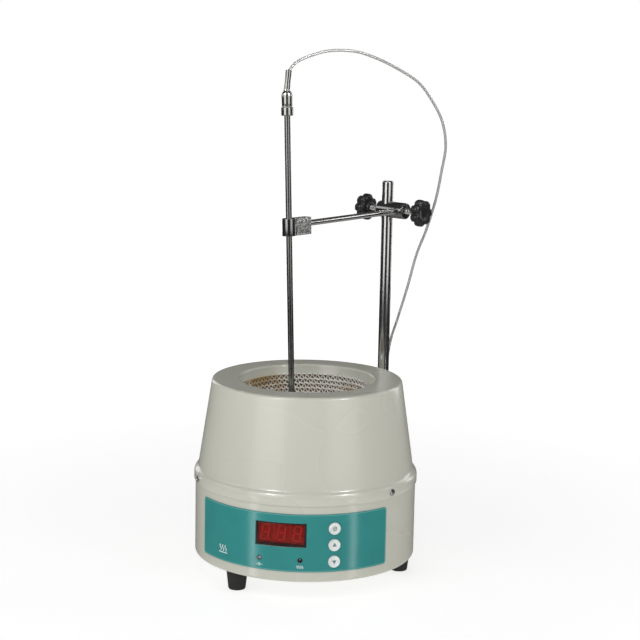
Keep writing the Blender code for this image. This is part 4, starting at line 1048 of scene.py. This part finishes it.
def backing_material():
    """The layer seen between the rows: the fibre's own brown, darkened with painted shade for the gaps
    between the rows.
    """
    base = (0.13, 0.075, 0.035)
    n = Nodes("bowl_backing", base, 0.8)
    patch = n.remap(n.noise(60, 4), 0.35, 0.65, 0, 1)
    # dark brown: the fibre's brown plus painted shade between the knit rows
    n.set("Base Color", n.mix(patch, (0.035, 0.018, 0.012), (0.26, 0.15, 0.045)))
    n.bump(n.noise(700, 3), 0.5, 0.0006)
    return n.material


def on_bowl(azimuth, dip, radius):
    """A point on the bowl: dip is measured down from the rim's level, in radians."""
    return Vector((radius * cos(dip) * cos(azimuth), radius * cos(dip) * sin(azimuth),
                   BOWL_CENTRE_Z - radius * sin(dip)))


def knitted_rows():
    """Rows of linked loops, one closed line of yarn to a row, down the inside of the bowl."""
    verts, faces = [], []
    sides, per_stitch = 6, 14
    dips = []
    dip = 0.028
    while dip < radians(84):
        dips.append(dip)
        dip += KNIT_ROW / BOWL_RADIUS
    for row, dip in enumerate(dips):
        around = 2 * pi * BOWL_RADIUS * cos(dip)
        stitches = max(5, round(around / KNIT_STITCH))
        count = stitches * per_stitch
        shift = (row % 2) * pi / stitches
        line = []
        for i in range(count):
            t = 2 * pi * i / per_stitch
            wobble = noise.noise(Vector((i * 0.13, row * 3.1, 0.5)))
            azimuth = 2 * pi * i / count + shift + 0.27 * sin(2 * t) * 2 * pi / stitches
            tilt = dip + (0.62 * cos(t) + 0.05 * wobble) * KNIT_ROW / BOWL_RADIUS
            depth = BOWL_RADIUS - 1.35 * MM - 0.55 * MM * cos(2 * t) + 0.12 * MM * wobble
            line.append(on_bowl(azimuth, tilt, depth))
        base = len(verts)
        centre = Vector((0, 0, BOWL_CENTRE_Z))
        for i, point in enumerate(line):
            tangent = (line[(i + 1) % count] - line[i - 1]).normalized()
            side = (point - centre).normalized()
            side = (side - tangent * side.dot(tangent)).normalized()
            other = tangent.cross(side)
            for j in range(sides):
                a = 2 * pi * j / sides
                verts.append(point + (side * cos(a) + other * sin(a)) * YARN_RADIUS)
        faces += tube_faces(count, sides, True, base)
    return verts, faces


def bowl():
    MATS["knit"] = knit_material()
    MATS["backing"] = backing_material()
    inner = arc(0, BOWL_CENTRE_Z, BOWL_RADIUS, -90, 0, 40)
    outer = arc(0, BOWL_CENTRE_Z, BOWL_RADIUS + 3.2 * MM, 0, -90, 40)
    turned("bowl_backing", [(max(0, r), z) for r, z in inner + outer], "backing", "base",
           "heating_bowl", "glass_fibre", 128, angle=60)
    verts, faces = knitted_rows()
    knit = make_piece("bowl_knit", verts, faces, "knit", "base", slot="glass_fibre")
    faces_out(knit.data)
    knit.data.shade_smooth()


bowl()


# ---------------------------------------------------------------- feet and shell screws

def feet():
    for number, azimuth in enumerate(FOOT_AZIMUTHS, 1):
        a = radians(azimuth)
        place = Matrix.Translation((FOOT_CIRCLE * sin(a), -FOOT_CIRCLE * cos(a), 0))
        top = FOOT_HEIGHT - 0.3 * MM
        outline = [(0, top, 0), (11.0 * MM, top, 0.8 * MM), (10.4 * MM, top - 4 * MM, 0),
                   (8.8 * MM, 1.4 * MM, 0), (8.2 * MM, 0, 1.0 * MM), (3.8 * MM, 0, 0.5 * MM),
                   (3.8 * MM, 6 * MM, 0.3 * MM), (0, 6 * MM, 0)]
        turned("foot_%d_rubber" % number, rounded(outline, 0.5 * MM), "rubber", "base",
               "foot_%d" % number, "foot_rubber", 64, place)
        head = [(0, 3.9 * MM), (2.0 * MM, 3.9 * MM), (3.1 * MM, 4.5 * MM), (3.3 * MM, 5.9 * MM),
                (0, 5.9 * MM)]
        screw = turned("foot_%d_screw" % number, rounded(head, 0.3 * MM), "chrome", "base",
                       slot="chrome", segments=40, matrix=place)
        slot = box_mesh((0.9 * MM, 5 * MM, 1.4 * MM), place @ Matrix.Translation((0, 0, 3.9 * MM)))
        apply_booleans(screw, [slot])
        sharp_by_angle(screw, 30)


def cross_recess(width, depth, centre):
    """The cutter of a cross slot: two tapering bars."""
    cutters = []
    for turn in (0, pi / 2):
        mesh = bpy.data.meshes.new("cut")
        bm = bmesh.new()
        bmesh.ops.create_cube(bm, size=1.0)
        for vert in bm.verts:
            narrow = 0.45 if vert.co.z < 0 else 1.0
            vert.co = Vector((vert.co.x * width * narrow, vert.co.y * width * 0.22, vert.co.z * depth))
        bm.to_mesh(mesh)
        bm.free()
        mesh.transform(Matrix.Translation((0, 0, centre)) @ Matrix.Rotation(turn + 0.4, 4, "Z"))
        cutters.append(mesh)
    return cutters


def shell_screws():
    for number, azimuth in enumerate(SCREW_AZIMUTHS, 1):
        place = drum_frame(azimuth, SKIRT_RADIUS + GAP, SCREW_Z)
        dome = sqrt(3) * SCREW_HEAD_RADIUS
        profile = arc(0, 2.1 * MM - dome, dome, 90, 61, 10)[:-1]
        profile += [(SCREW_HEAD_RADIUS - 0.06 * MM, 1.25 * MM), (SCREW_HEAD_RADIUS, 0.9 * MM),
                    (SCREW_HEAD_RADIUS, -0.25 * MM), (0, -0.25 * MM)]
        screw = turned("shell_screw_%d_head" % number, profile, "chrome", "base", (), "chrome", 48)
        apply_booleans(screw, cross_recess(3.6 * MM, 1.6 * MM, 1.6 * MM))
        screw.data.transform(place)
        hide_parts("shell_screw_%d" % number)
        sharp_by_angle(screw, 30)


feet()
shell_screws()


# ---------------------------------------------------------------- rear fittings

def rear_fittings():
    outside = drum_frame(180, REAR_PLATE_Y, REAR_WINDOW_Z)

    def spot(x):
        return outside @ Matrix.Translation((-x, 0, 0))

    inlet, switch, fuse, socket = spot(27 * MM), spot(0), spot(-17.5 * MM), spot(-35 * MM)

    # mains inlet: a flange, a deep rounded cavity and three blades
    flange = box_mesh((31 * MM, 24 * MM, 2.2 * MM), Matrix.Translation((0, 0, 1.4 * MM)))
    body = box_mesh((27 * MM, 20 * MM, 22 * MM), Matrix.Translation((0, 0, -10 * MM)))
    cavity = box_mesh((23.6 * MM, 16.4 * MM, 18 * MM), Matrix.Translation((0, 0, -6 * MM)), 2.5 * MM, 3)
    carved("inlet_body", flange, [cavity], "black", "base", "power_inlet",
           (0.35 * MM, 2, 40), inlet, 35, [body])
    for i, (x, y) in enumerate(((-7 * MM, -2 * MM), (0, 2 * MM), (7 * MM, -2 * MM))):
        blade = box_mesh((2 * MM, 4 * MM, 12.6 * MM), Matrix.Translation((x, y, -9.6 * MM)),
                         0.5 * MM, 3)
        sharp_by_angle(finish_piece("inlet_blade_%d" % (i + 1), blade, "chrome", "base",
                                    matrix=inlet), 30)

    # rocker switch
    flange = box_mesh((15 * MM, 21 * MM, 2 * MM), Matrix.Translation((0, 0, 1.3 * MM)))
    body = box_mesh((13 * MM, 19 * MM, 16 * MM), Matrix.Translation((0, 0, -7 * MM)))
    well = box_mesh((9.6 * MM, 15.6 * MM, 12 * MM), Matrix.Translation((0, 0, -2 * MM)))
    carved("switch_bezel", flange, [well], "black", "base", "switch_frame",
           (0.35 * MM, 2, 40), switch, 35, [body])
    tilt = Matrix.Translation((0, 0, 0.4 * MM)) @ Matrix.Rotation(radians(8), 4, "X")
    sideways = Matrix.Rotation(pi / 2, 4, "Y")
    dip_radius, dip_height = 13 * MM, 15.8 * MM
    dip = cylinder_mesh(dip_radius, -10 * MM, 10 * MM, 160,
                        Matrix.Translation((0, 0, dip_height)) @ sideways)
    carved("rocker_cap", cylinder_mesh(7.2 * MM, -4.4 * MM, 4.4 * MM, 96, sideways), [dip], "black",
           "power_rocker", "power_rocker", (0.4 * MM, 3, 35), switch @ tilt)
    signs = ((4.0 * MM, stroke([Vector((0, -1.3 * MM)), Vector((0, 1.3 * MM))], 0.5 * MM)),
             (-4.0 * MM, circle_ring(1.3 * MM, 0.45 * MM)))
    for number, (y, flat) in enumerate(signs, 1):
        below = sqrt(dip_radius ** 2 - y ** 2)
        at = Matrix.Translation((0, y, dip_height - below)) @ Matrix.Rotation(atan2(y, below), 4, "X")
        sign = make_piece("rocker_mark_%d" % number, *prism([flat], -0.05 * MM, 0.05 * MM),
                          "print_white", "power_rocker", slot="black_plastic", matrix=switch @ tilt @ at)
        faces_out(sign.data)

    # fuse holder and cap with a coin slot and grip ribs
    holder = [(4.4 * MM, 1.2 * MM), (7.4 * MM, 1.2 * MM), (7.4 * MM, 0.3 * MM), (6.0 * MM, 0.3 * MM),
              (6.0 * MM, -26 * MM), (0.01 * MM, -26 * MM), (0.01 * MM, -22 * MM), (4.4 * MM, -22 * MM)]
    turned("fuse_collar", rounded(holder, 0.25 * MM, 3, True), "black", "base", "fuse_holder",
           "black_plastic", 64, fuse, closed=True)
    cap = [(0, 7 * MM), (5.3 * MM, 7 * MM), (6.15 * MM, 6.1 * MM), (6.15 * MM, 1.6 * MM),
           (4.0 * MM, 1.6 * MM), (4.0 * MM, -20 * MM), (0, -20 * MM)]
    verts, faces = lathe(rounded(cap, 0.35 * MM), 96)
    ribbed = []
    for x, y, z in verts:
        r = sqrt(x * x + y * y)
        if r > 6.0 * MM and 1.9 * MM < z < 6.2 * MM:
            grow = 1 - 0.018 * (1 + cos(24 * atan2(y, x))) / 2
            x, y = x * grow, y * grow
        ribbed.append((x, y, z))
    cap_piece = make_piece("fuse_cap_body", ribbed, faces, "black")
    faces_out(cap_piece.data)
    coin_slot = box_mesh((1.2 * MM, 9 * MM, 3 * MM), Matrix.Translation((0, 0, 7 * MM)))
    apply_booleans(cap_piece, [coin_slot])
    cap_piece.data.transform(fuse)
    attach(cap_piece, "fuse_cap")
    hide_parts("fuse_cap")
    sharp_by_angle(cap_piece, 35)

    # sensor socket, plug and knurled ring
    shell = [(5.6 * MM, 8 * MM), (7.6 * MM, 8 * MM), (7.6 * MM, 3 * MM), (8.8 * MM, 3 * MM),
             (8.8 * MM, 0.3 * MM), (7.0 * MM, 0.3 * MM), (7.0 * MM, -11 * MM), (0.01 * MM, -11 * MM),
             (0.01 * MM, -3 * MM), (5.6 * MM, -3 * MM)]
    turned("socket_shell", rounded(shell, 0.3 * MM, 3, True), "chrome", "base", "sensor_socket",
           "chrome", 72, socket, closed=True)
    plug = [(0, 53 * MM), (3.4 * MM, 53 * MM), (3.7 * MM, 50.5 * MM), (3.2 * MM, 50 * MM),
            (4.2 * MM, 49.5 * MM), (4.5 * MM, 47 * MM), (5.0 * MM, 45 * MM), (5.6 * MM, 40 * MM),
            (6.6 * MM, 39 * MM), (6.6 * MM, 34 * MM), (6.2 * MM, 33.6 * MM), (6.2 * MM, 26 * MM),
            (6.6 * MM, 25.6 * MM), (6.6 * MM, 22.0 * MM), (5.3 * MM, 21.4 * MM), (5.3 * MM, -2 * MM),
            (0, -2 * MM)]
    turned("plug_body", rounded(plug, 0.3 * MM, 3), "chrome", "base", "sensor_plug", "chrome", 72,
           socket)
    ring = rounded([(5.6 * MM, 21 * MM), (8.5 * MM, 21 * MM), (9.2 * MM, 20.2 * MM), (9.2 * MM, 9.2 * MM),
                    (8.5 * MM, 8.4 * MM), (5.6 * MM, 8.4 * MM)], 0.3 * MM, 3, True)
    dense = []
    for a, b in zip(ring, ring[1:] + ring[:1]):
        parts = max(1, ceil((Vector(b) - Vector(a)).length / (0.5 * MM)))
        dense += [tuple(Vector(a).lerp(Vector(b), i / parts)) for i in range(parts)]
    verts, faces = lathe(dense, 180, True)
    knurled = []
    for x, y, z in verts:
        r = sqrt(x * x + y * y)
        if r > 8.9 * MM and 10.2 * MM < z < 19.2 * MM:
            a = atan2(y, x) * 30
            cross = max(sin(a + z / MM * 2.2), sin(a - z / MM * 2.2))
            x, y = (v * (1 - 0.018 * (1 - cross) / 2) for v in (x, y))
        knurled.append((x, y, z))
    ring_piece = make_piece("ring_knurled", knurled, faces, "chrome", "plug_ring", "plug_ring",
                            "chrome", matrix=socket)
    faces_out(ring_piece.data)
    sharp_by_angle(ring_piece, 50)


rear_fittings()


# ---------------------------------------------------------------- stand rod, boss head and knobs

def boss_axis():
    a = radians(BOSS_ANGLE)
    return Vector((cos(a), sin(a), 0))


def arm_bore():
    return ROD_POSITION + boss_axis() * ARM_OFFSET + Vector((0, 0, BOSS_Z))


def arm_direction():
    return (CLIP_POINT - arm_bore()).normalized()


def probe_axis():
    lean = radians(PROBE_LEAN)
    return Vector((0, 0, 1)) * cos(lean) - boss_axis() * sin(lean)


def round_bar(name, radius, low, high, mat, body, node, slot, place, chamfer, segments=64):
    profile = rounded([(0, high, 0), (radius - chamfer, high), (radius, high - chamfer),
                       (radius, low + chamfer), (radius - chamfer, low), (0, low, 0)], 0.25 * MM, 3)
    return turned(name, profile, mat, body, node, slot, segments, place)


def stand():
    round_bar("rod_polished", ROD_RADIUS, ROD_FOOT_Z, ROD_TOP_Z, "steel", "stand", "stand_rod",
              "polished_steel", Matrix.Translation(ROD_POSITION), 0.8 * MM, 96)


def star_knob(name, node, body, place):
    """A lobed moulded knob: rounded lobes, a dished crown, and a hub towards the boss."""
    # (share of the lobed radius, height): the section from the crown's middle out and round to the hub
    low, high = KNOB_STANDOFF, KNOB_STANDOFF + KNOB_THICKNESS
    section = [(0.0, high - 1.6 * MM), (0.28, high - 1.5 * MM), (0.42, high - 1.2 * MM)]
    section += [(0.55, high - 0.35 * MM), (0.68, high - 0.02 * MM), (0.78, high), (0.87, high - 0.35 * MM)]
    section += [(0.94, high - 1.1 * MM), (0.985, high - 2.2 * MM), (1.0, high - 3.6 * MM)]
    section += [(1.0, low + 3.4 * MM), (0.985, low + 2.0 * MM), (0.94, low + 0.9 * MM)]
    section += [(0.86, low + 0.25 * MM), (0.76, low)]
    hub = [(6.0 * MM, low), (6.0 * MM, low - 2.6 * MM), (5.6 * MM, low - 3.0 * MM),
           (CLAMP_SCREW_RADIUS + GAP, low - 3.0 * MM), (CLAMP_SCREW_RADIUS + GAP, low + 5.3 * MM),
           (0.0, low + 5.3 * MM)]

    def lobed(share):
        def radius(a):
            notch = ((1 - cos(KNOB_LOBES * a)) / 2) ** 2.4
            return share * (KNOB_RADIUS + KNOB_LOBE * (1.0 - 2.3 * notch) * max(0.0, (share - 0.35) / 0.65))
        return radius if share else 0

    profile = [(lobed(share), z) for share, z in section] + hub
    turned(name, profile, "knob", body, node, "knob_plastic", KNOB_LOBES * 24, place, angle=50)


def threaded(name, node, body, place, low, high):
    """A clamp screw: a plain tip, then a cut thread."""
    radius, pitch = CLAMP_SCREW_RADIUS, 0.8 * MM
    profile = [(0, low, 0), (radius - 0.5 * MM, low), (radius - 0.1 * MM, low + 0.5 * MM)]
    z = low + 1.2 * MM
    profile.append((radius - 0.1 * MM, z))
    while z < high - pitch:
        profile += [(radius, z + pitch * 0.25), (radius - 0.32 * MM, z + pitch * 0.75)]
        z += pitch
    profile += [(radius - 0.1 * MM, high), (0, high)]
    return turned(name, [p[:2] for p in profile], "chrome", body, node, "chrome", 40, place, angle=25)


def boss():
    axis = boss_axis()
    centre = ROD_POSITION + Vector((0, 0, BOSS_Z))
    place = along(centre, axis)
    profile = rounded([(0, BOSS_SPAN[1], 0), (BOSS_RADIUS - 0.9 * MM, BOSS_SPAN[1]),
                       (BOSS_RADIUS, BOSS_SPAN[1] - 0.9 * MM), (BOSS_RADIUS, BOSS_SPAN[0] + 0.9 * MM),
                       (BOSS_RADIUS - 0.9 * MM, BOSS_SPAN[0]), (0, BOSS_SPAN[0], 0)], 0.3 * MM, 3)
    head = turned("boss_body", profile, "boss", None, (), "boss_metal", 128, place)
    cutters = [
        cylinder_mesh(ROD_RADIUS + BORE_GAP, BOSS_Z - 20 * MM, BOSS_Z + 20 * MM, 96,
                      Matrix.Translation(ROD_POSITION)),
        cylinder_mesh(ARM_RADIUS + BORE_GAP, -20 * MM, 20 * MM, 64,
                      along(arm_bore(), arm_direction())),
        cylinder_mesh(CLAMP_SCREW_RADIUS + BORE_GAP, 3 * MM, 60 * MM, 48, along(centre, -axis)),
        cylinder_mesh(CLAMP_SCREW_RADIUS + BORE_GAP, 1 * MM, 60 * MM, 48, along(arm_bore(), axis)),
    ]
    apply_booleans(head, cutters)
    bevel_edges(head, 0.35 * MM, 3, 35)
    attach(head, "boss")
    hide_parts("boss_head")
    sharp_by_angle(head, 30)

    left = along(centre + axis * BOSS_SPAN[0], -axis)
    right = along(centre + axis * BOSS_SPAN[1], axis)
    reach = KNOB_STANDOFF + 5 * MM
    inner = -BOSS_SPAN[0] - ROD_RADIUS - 0.6 * MM
    threaded("rod_clamp_thread", "rod_clamp_screw", "rod_clamp", left, -inner, reach)
    inner = BOSS_SPAN[1] - ARM_OFFSET - ARM_RADIUS - 0.6 * MM
    threaded("arm_clamp_thread", "arm_clamp_screw", "arm_clamp", right, -inner, reach)
    star_knob("rod_knob_star", "rod_clamp_knob", "rod_clamp", left)
    star_knob("arm_knob_star", "arm_clamp_knob", "arm_clamp", right)


stand()
boss()


# ---------------------------------------------------------------- arm, clip and probe

def zinc_material():
    """Bright cast zinc with a pitted skin; the bright specks on its dark grain are painted glints."""
    base = (0.60, 0.60, 0.585)
    n = Nodes("cast_zinc", base, 0.4, 0.6)
    grain = n.cells(520)
    pits = n.noise(700, 3)
    painted_glints = n.remap(grain, 0.15, 0.55, 0, 1)
    # painted glints: bright specks at the grain's cells on a dark field
    n.set("Base Color", n.mix(painted_glints, (0.92, 0.92, 0.90), (0.24, 0.24, 0.23)))
    n.set("Roughness", n.remap(pits, 0.3, 0.7, 0.25, 0.6))
    n.bump(n.math("ADD", grain, pits), 0.5, 0.0002)
    return n.material


def arm_and_clip():
    MATS["zinc"] = zinc_material()
    MATS["arm_steel"] = metal("arm_steel", (0.60, 0.59, 0.58), 0.18, (1, 1, 1), 60, 0.05, 0.0)
    direction = arm_direction()
    reach = (CLIP_POINT - arm_bore()).length
    arm_end = reach - JAW_RADIUS - 4 * MM
    place = along(arm_bore(), direction)
    round_bar("arm_polished", ARM_RADIUS, -ARM_TAIL, arm_end, "arm_steel", "arm", "arm_rod",
              "polished_steel", place, 0.5 * MM)

    up = probe_axis()
    side = direction.cross(up).normalized()
    turn = Matrix((side, up, side.cross(up))).transposed().to_4x4()
    clip = Matrix.Translation(CLIP_POINT) @ turn
    start = JAW_RADIUS - 1.0 * MM
    upright = Matrix.Rotation(-pi / 2, 4, "X")
    block = box_mesh((CLIP_WIDTH, CLIP_HEIGHT, CLIP_LENGTH),
                     clip @ Matrix.Translation((0, -CLIP_DROP, start + CLIP_LENGTH / 2)))
    arm_hole = cylinder_mesh(ARM_RADIUS + BORE_GAP, arm_end - 70 * MM, arm_end + GAP, 64, place)
    seat = cylinder_mesh(JAW_RADIUS + GAP, -20 * MM, 20 * MM, 96, clip @ upright)
    carved("clip_block", block, [arm_hole, seat], "zinc", "clip", "probe_clip",
           (0.7 * MM, 3, 40))

    low, high = -CLIP_HEIGHT / 2 - CLIP_DROP, CLIP_HEIGHT / 2 - CLIP_DROP
    profile = rounded([(PROBE_RADIUS + BORE_GAP, high), (JAW_RADIUS, high), (JAW_RADIUS, low),
                       (PROBE_RADIUS + BORE_GAP, low)], 0.5 * MM, 3, True)
    turned("clip_nose", profile, "boss", "clip", "clip_jaw", "boss_metal", 96, clip @ upright,
           closed=True)


def probe():
    up = probe_axis()
    place = along(CLIP_POINT, up)
    collar_low = PROBE_ABOVE_CLIP
    tip = collar_low - PROBE_LENGTH
    tube = arc(0, tip + PROBE_RADIUS * 0.8, PROBE_RADIUS, 0, -90, 10)
    tube = [(r, max(z, tip)) for r, z in tube]
    tube = [(0, collar_low + 2.8 * MM), (PROBE_RADIUS, collar_low + 2.8 * MM)] + tube + [(0, tip)]
    turned("probe_stem", tube, "probe_steel", "probe", "probe_tube", "polished_steel", 64, place)
    collar_high = collar_low + COLLAR_HEIGHT
    r = COLLAR_RADIUS
    profile = [(0, collar_low + 3.3 * MM), (PROBE_RADIUS + GAP, collar_low + 3.3 * MM),
               (PROBE_RADIUS + GAP, collar_low), (r - 0.6 * MM, collar_low),
               (r, collar_low + 0.6 * MM), (r, collar_high - 0.6 * MM), (r - 0.6 * MM, collar_high),
               (0, collar_high)]
    turned("collar_turned", rounded(profile, 0.2 * MM, 3), "steel_lean", "probe", "probe_collar",
           "polished_steel", 72, place)
    sleeve(place, collar_high + 0.3 * MM)


def sleeve(place, low):
    """Barrel, crimped shoulder and slim sleeve, drawn along a line that leans over at the top."""
    high = low + BARREL_HEIGHT
    base = place @ Vector((0, 0, PROBE_ABOVE_CLIP))
    tip = base + probe_axis() * (SLEEVE_TOP[1] + 1.4 * MM) + Vector((SLEEVE_TOP[0], 0, 0))
    foot = place @ Vector((0, 0, low))
    shoulder = place @ Vector((0, 0, high + 2 * MM))
    stations = []
    r = BARREL_RADIUS
    for share, radius in ((0, r - 0.5 * MM), (0.05, r - 0.15 * MM), (0.3, r - 0.1 * MM), (0.7, r),
                          (0.9, r), (0.97, r - 0.25 * MM)):
        stations.append((foot.lerp(place @ Vector((0, 0, high)), share), radius))
    for step in range(7):
        t = step / 6
        smooth_t = t * t * (3 - 2 * t)
        centre = place @ Vector((0, 0, high + 3.6 * MM * t))
        stations.append((centre, (r - 0.35 * MM) * (1 - smooth_t) + (SLEEVE_RADIUS + 0.15 * MM) * smooth_t))
    start = stations[-1][0]
    for step in range(1, 17):
        t = step / 16
        radius = SLEEVE_RADIUS + 0.1 * MM * cos(t * 6) - 0.12 * MM * (1 if 0.25 < t < 0.34 else 0)
        stations.append((start.lerp(tip, t), radius))
    stations.append((tip, SLEEVE_RADIUS - 0.35 * MM))
    stations.append((tip - (tip - start).normalized() * 1.2 * MM, LEAD_DIAMETER / 2 + 0.25 * MM))
    verts, around = [], 64
    path = [s[0] for s in stations]
    for i, (centre, radius) in enumerate(stations):
        run = (tip - start).normalized() if i > len(stations) - 4 else \
            (path[min(i + 1, len(path) - 1)] - path[max(0, i - 1)]).normalized()
        x = (Vector((1, 0, 0)) - run * run.x).normalized()
        y = run.cross(x)
        for k in range(around):
            a = 2 * pi * k / around
            verts.append(centre + (x * cos(a) + y * sin(a)) * radius)
    make_piece("sleeve_crimped", verts, tube_faces(len(stations), around), "steel_lean", "probe",
               "probe_sleeve", "polished_steel", angle=40)


MATS["steel_lean"] = metal("probe_steel", (0.46, 0.45, 0.43), 0.20, (1, 1, 0.02))
MATS["probe_steel"] = metal("probe_tube_steel", (0.27, 0.262, 0.25), 0.24, (1, 1, 0.02))
arm_and_clip()
probe()


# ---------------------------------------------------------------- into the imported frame

for piece in DRAWN:
    piece.data.transform(Matrix.Translation(INTO_FRAME))


# ---------------------------------------------------------------- floor, lights and world

def area_light(name, azimuth, distance, height, size, power, glossy=True, diffuse=True):
    """A soft box that faces the drum from an azimuth about its axis."""
    a = radians(azimuth)
    data = bpy.data.lights.new(name, "AREA")
    data.shape = "RECTANGLE"
    data.size, data.size_y = size
    data.energy = power
    light = bpy.data.objects.new(name, data)
    SCENE.collection.objects.link(light)
    light.location = (distance * sin(a), -distance * cos(a), height)
    aim = Vector((0, 0, 0.25)) - light.location
    light.rotation_euler = aim.to_track_quat("-Z", "Y").to_euler()
    light.visible_glossy = glossy
    light.visible_diffuse = diffuse
    light.visible_camera = False
    return light


def studio_world():
    """White backdrop; a dim room for everything that the soft boxes don't light."""
    world = bpy.data.worlds.new("studio")
    SCENE.world = world
    world.use_nodes = True
    tree = world.node_tree
    tree.nodes.clear()
    output = tree.nodes.new("ShaderNodeOutputWorld")
    path = tree.nodes.new("ShaderNodeLightPath")
    room = tree.nodes.new("ShaderNodeBackground")
    backdrop = tree.nodes.new("ShaderNodeBackground")
    backdrop.inputs["Color"].default_value = (1, 1, 1, 1)
    coords = tree.nodes.new("ShaderNodeTexCoord")
    split = tree.nodes.new("ShaderNodeSeparateXYZ")
    ramp = tree.nodes.new("ShaderNodeValToRGB")
    mix = tree.nodes.new("ShaderNodeMixShader")
    tree.links.new(coords.outputs["Generated"], split.inputs[0])
    halved = tree.nodes.new("ShaderNodeMath")
    halved.operation = "MULTIPLY_ADD"
    halved.inputs[1].default_value = 0.5
    halved.inputs[2].default_value = 0.5
    tree.links.new(split.outputs[2], halved.inputs[0])
    tree.links.new(halved.outputs[0], ramp.inputs[0])
    stops = ramp.color_ramp.elements
    stops.new(0.3)
    stops.new(0.4)
    for stop, (place, grey) in zip(stops, ROOM_GREYS):
        stop.position = place
        stop.color = (grey, grey, grey, 1)
    tree.links.new(ramp.outputs[0], room.inputs["Color"])
    tree.links.new(path.outputs["Is Camera Ray"], mix.inputs[0])
    tree.links.new(room.outputs[0], mix.inputs[1])
    tree.links.new(backdrop.outputs[0], mix.inputs[2])
    tree.links.new(mix.outputs[0], output.inputs[0])


def studio_floor():
    """A pale floor that brightens into the backdrop further out."""
    n = Nodes("pale_floor", (FLOOR_ALBEDO,) * 3, 0.9)
    reach = n.node("VectorMath", {0: n.coords.outputs["Object"]}, operation="LENGTH").outputs["Value"]
    glow = n.remap(reach, 0.15, 1.6, FLOOR_GLOW_NEAR, 1.0, True)
    grain = n.remap(n.noise(300, 3), 0.3, 0.7, 0.99, 1.01)
    n.shader.inputs["Emission Color"].default_value = (1, 1, 1, 1)
    n.set("Emission Strength", n.math("MULTIPLY", glow, grain))
    size = 40.0
    mesh = bpy.data.meshes.new("floor")
    mesh.from_pydata([(-size, -size, 0), (size, -size, 0), (size, size, 0), (-size, size, 0)], [],
                     [(0, 1, 2, 3)])
    mesh.materials.append(n.material)
    floor = bpy.data.objects.new("floor", mesh)
    SCENE.collection.objects.link(floor)
    floor.location.z = -0.0002
    floor.visible_glossy = False


# the room in reflections, from straight below to straight above: pale bench, dark walls, dim ceiling
ROOM_GREYS = ((0.0, 0.42), (0.25, 0.34), (0.36, 0.03), (1.0, 0.08))
FLOOR_ALBEDO = 0.35
FLOOR_GLOW_NEAR = 0.74

SCENE.view_settings.view_transform = "Standard"
studio_world()
studio_floor()
area_light("soft_box_left", -32, 1.3, 0.72, (0.9, 1.3), 6.4)
area_light("soft_box_right", 50, 1.3, 0.72, (0.9, 1.3), 4.6)
area_light("front_high", 4, 1.0, 1.35, (0.6, 0.5), 4, glossy=False)
area_light("side_left", -80, 1.4, 0.80, (0.9, 0.45), 2.0)
area_light("side_right", 105, 1.4, 0.80, (0.4, 0.3), 1.2)
area_light("back_left", -140, 1.6, 0.7, (0.35, 1.4), 3)
area_light("back_right", 140, 1.6, 0.7, (0.35, 1.4), 4)
area_light("overhead", 0, 0.01, 2.2, (1.0, 1.0), 4.6)
for side, high, low in (("left", -29.5, -43.0), ("right", 55.5, 57.0)):
    # narrow lamps that only show as streaks: one high for the seams, one low for the label
    area_light("streak_high_" + side, high, 1.25, 1.15, (0.2, 0.35), 8.0, diffuse=False)
    area_light("streak_low_" + side, low, 1.3, -0.42, (0.16, 0.62), 1.6, diffuse=False)
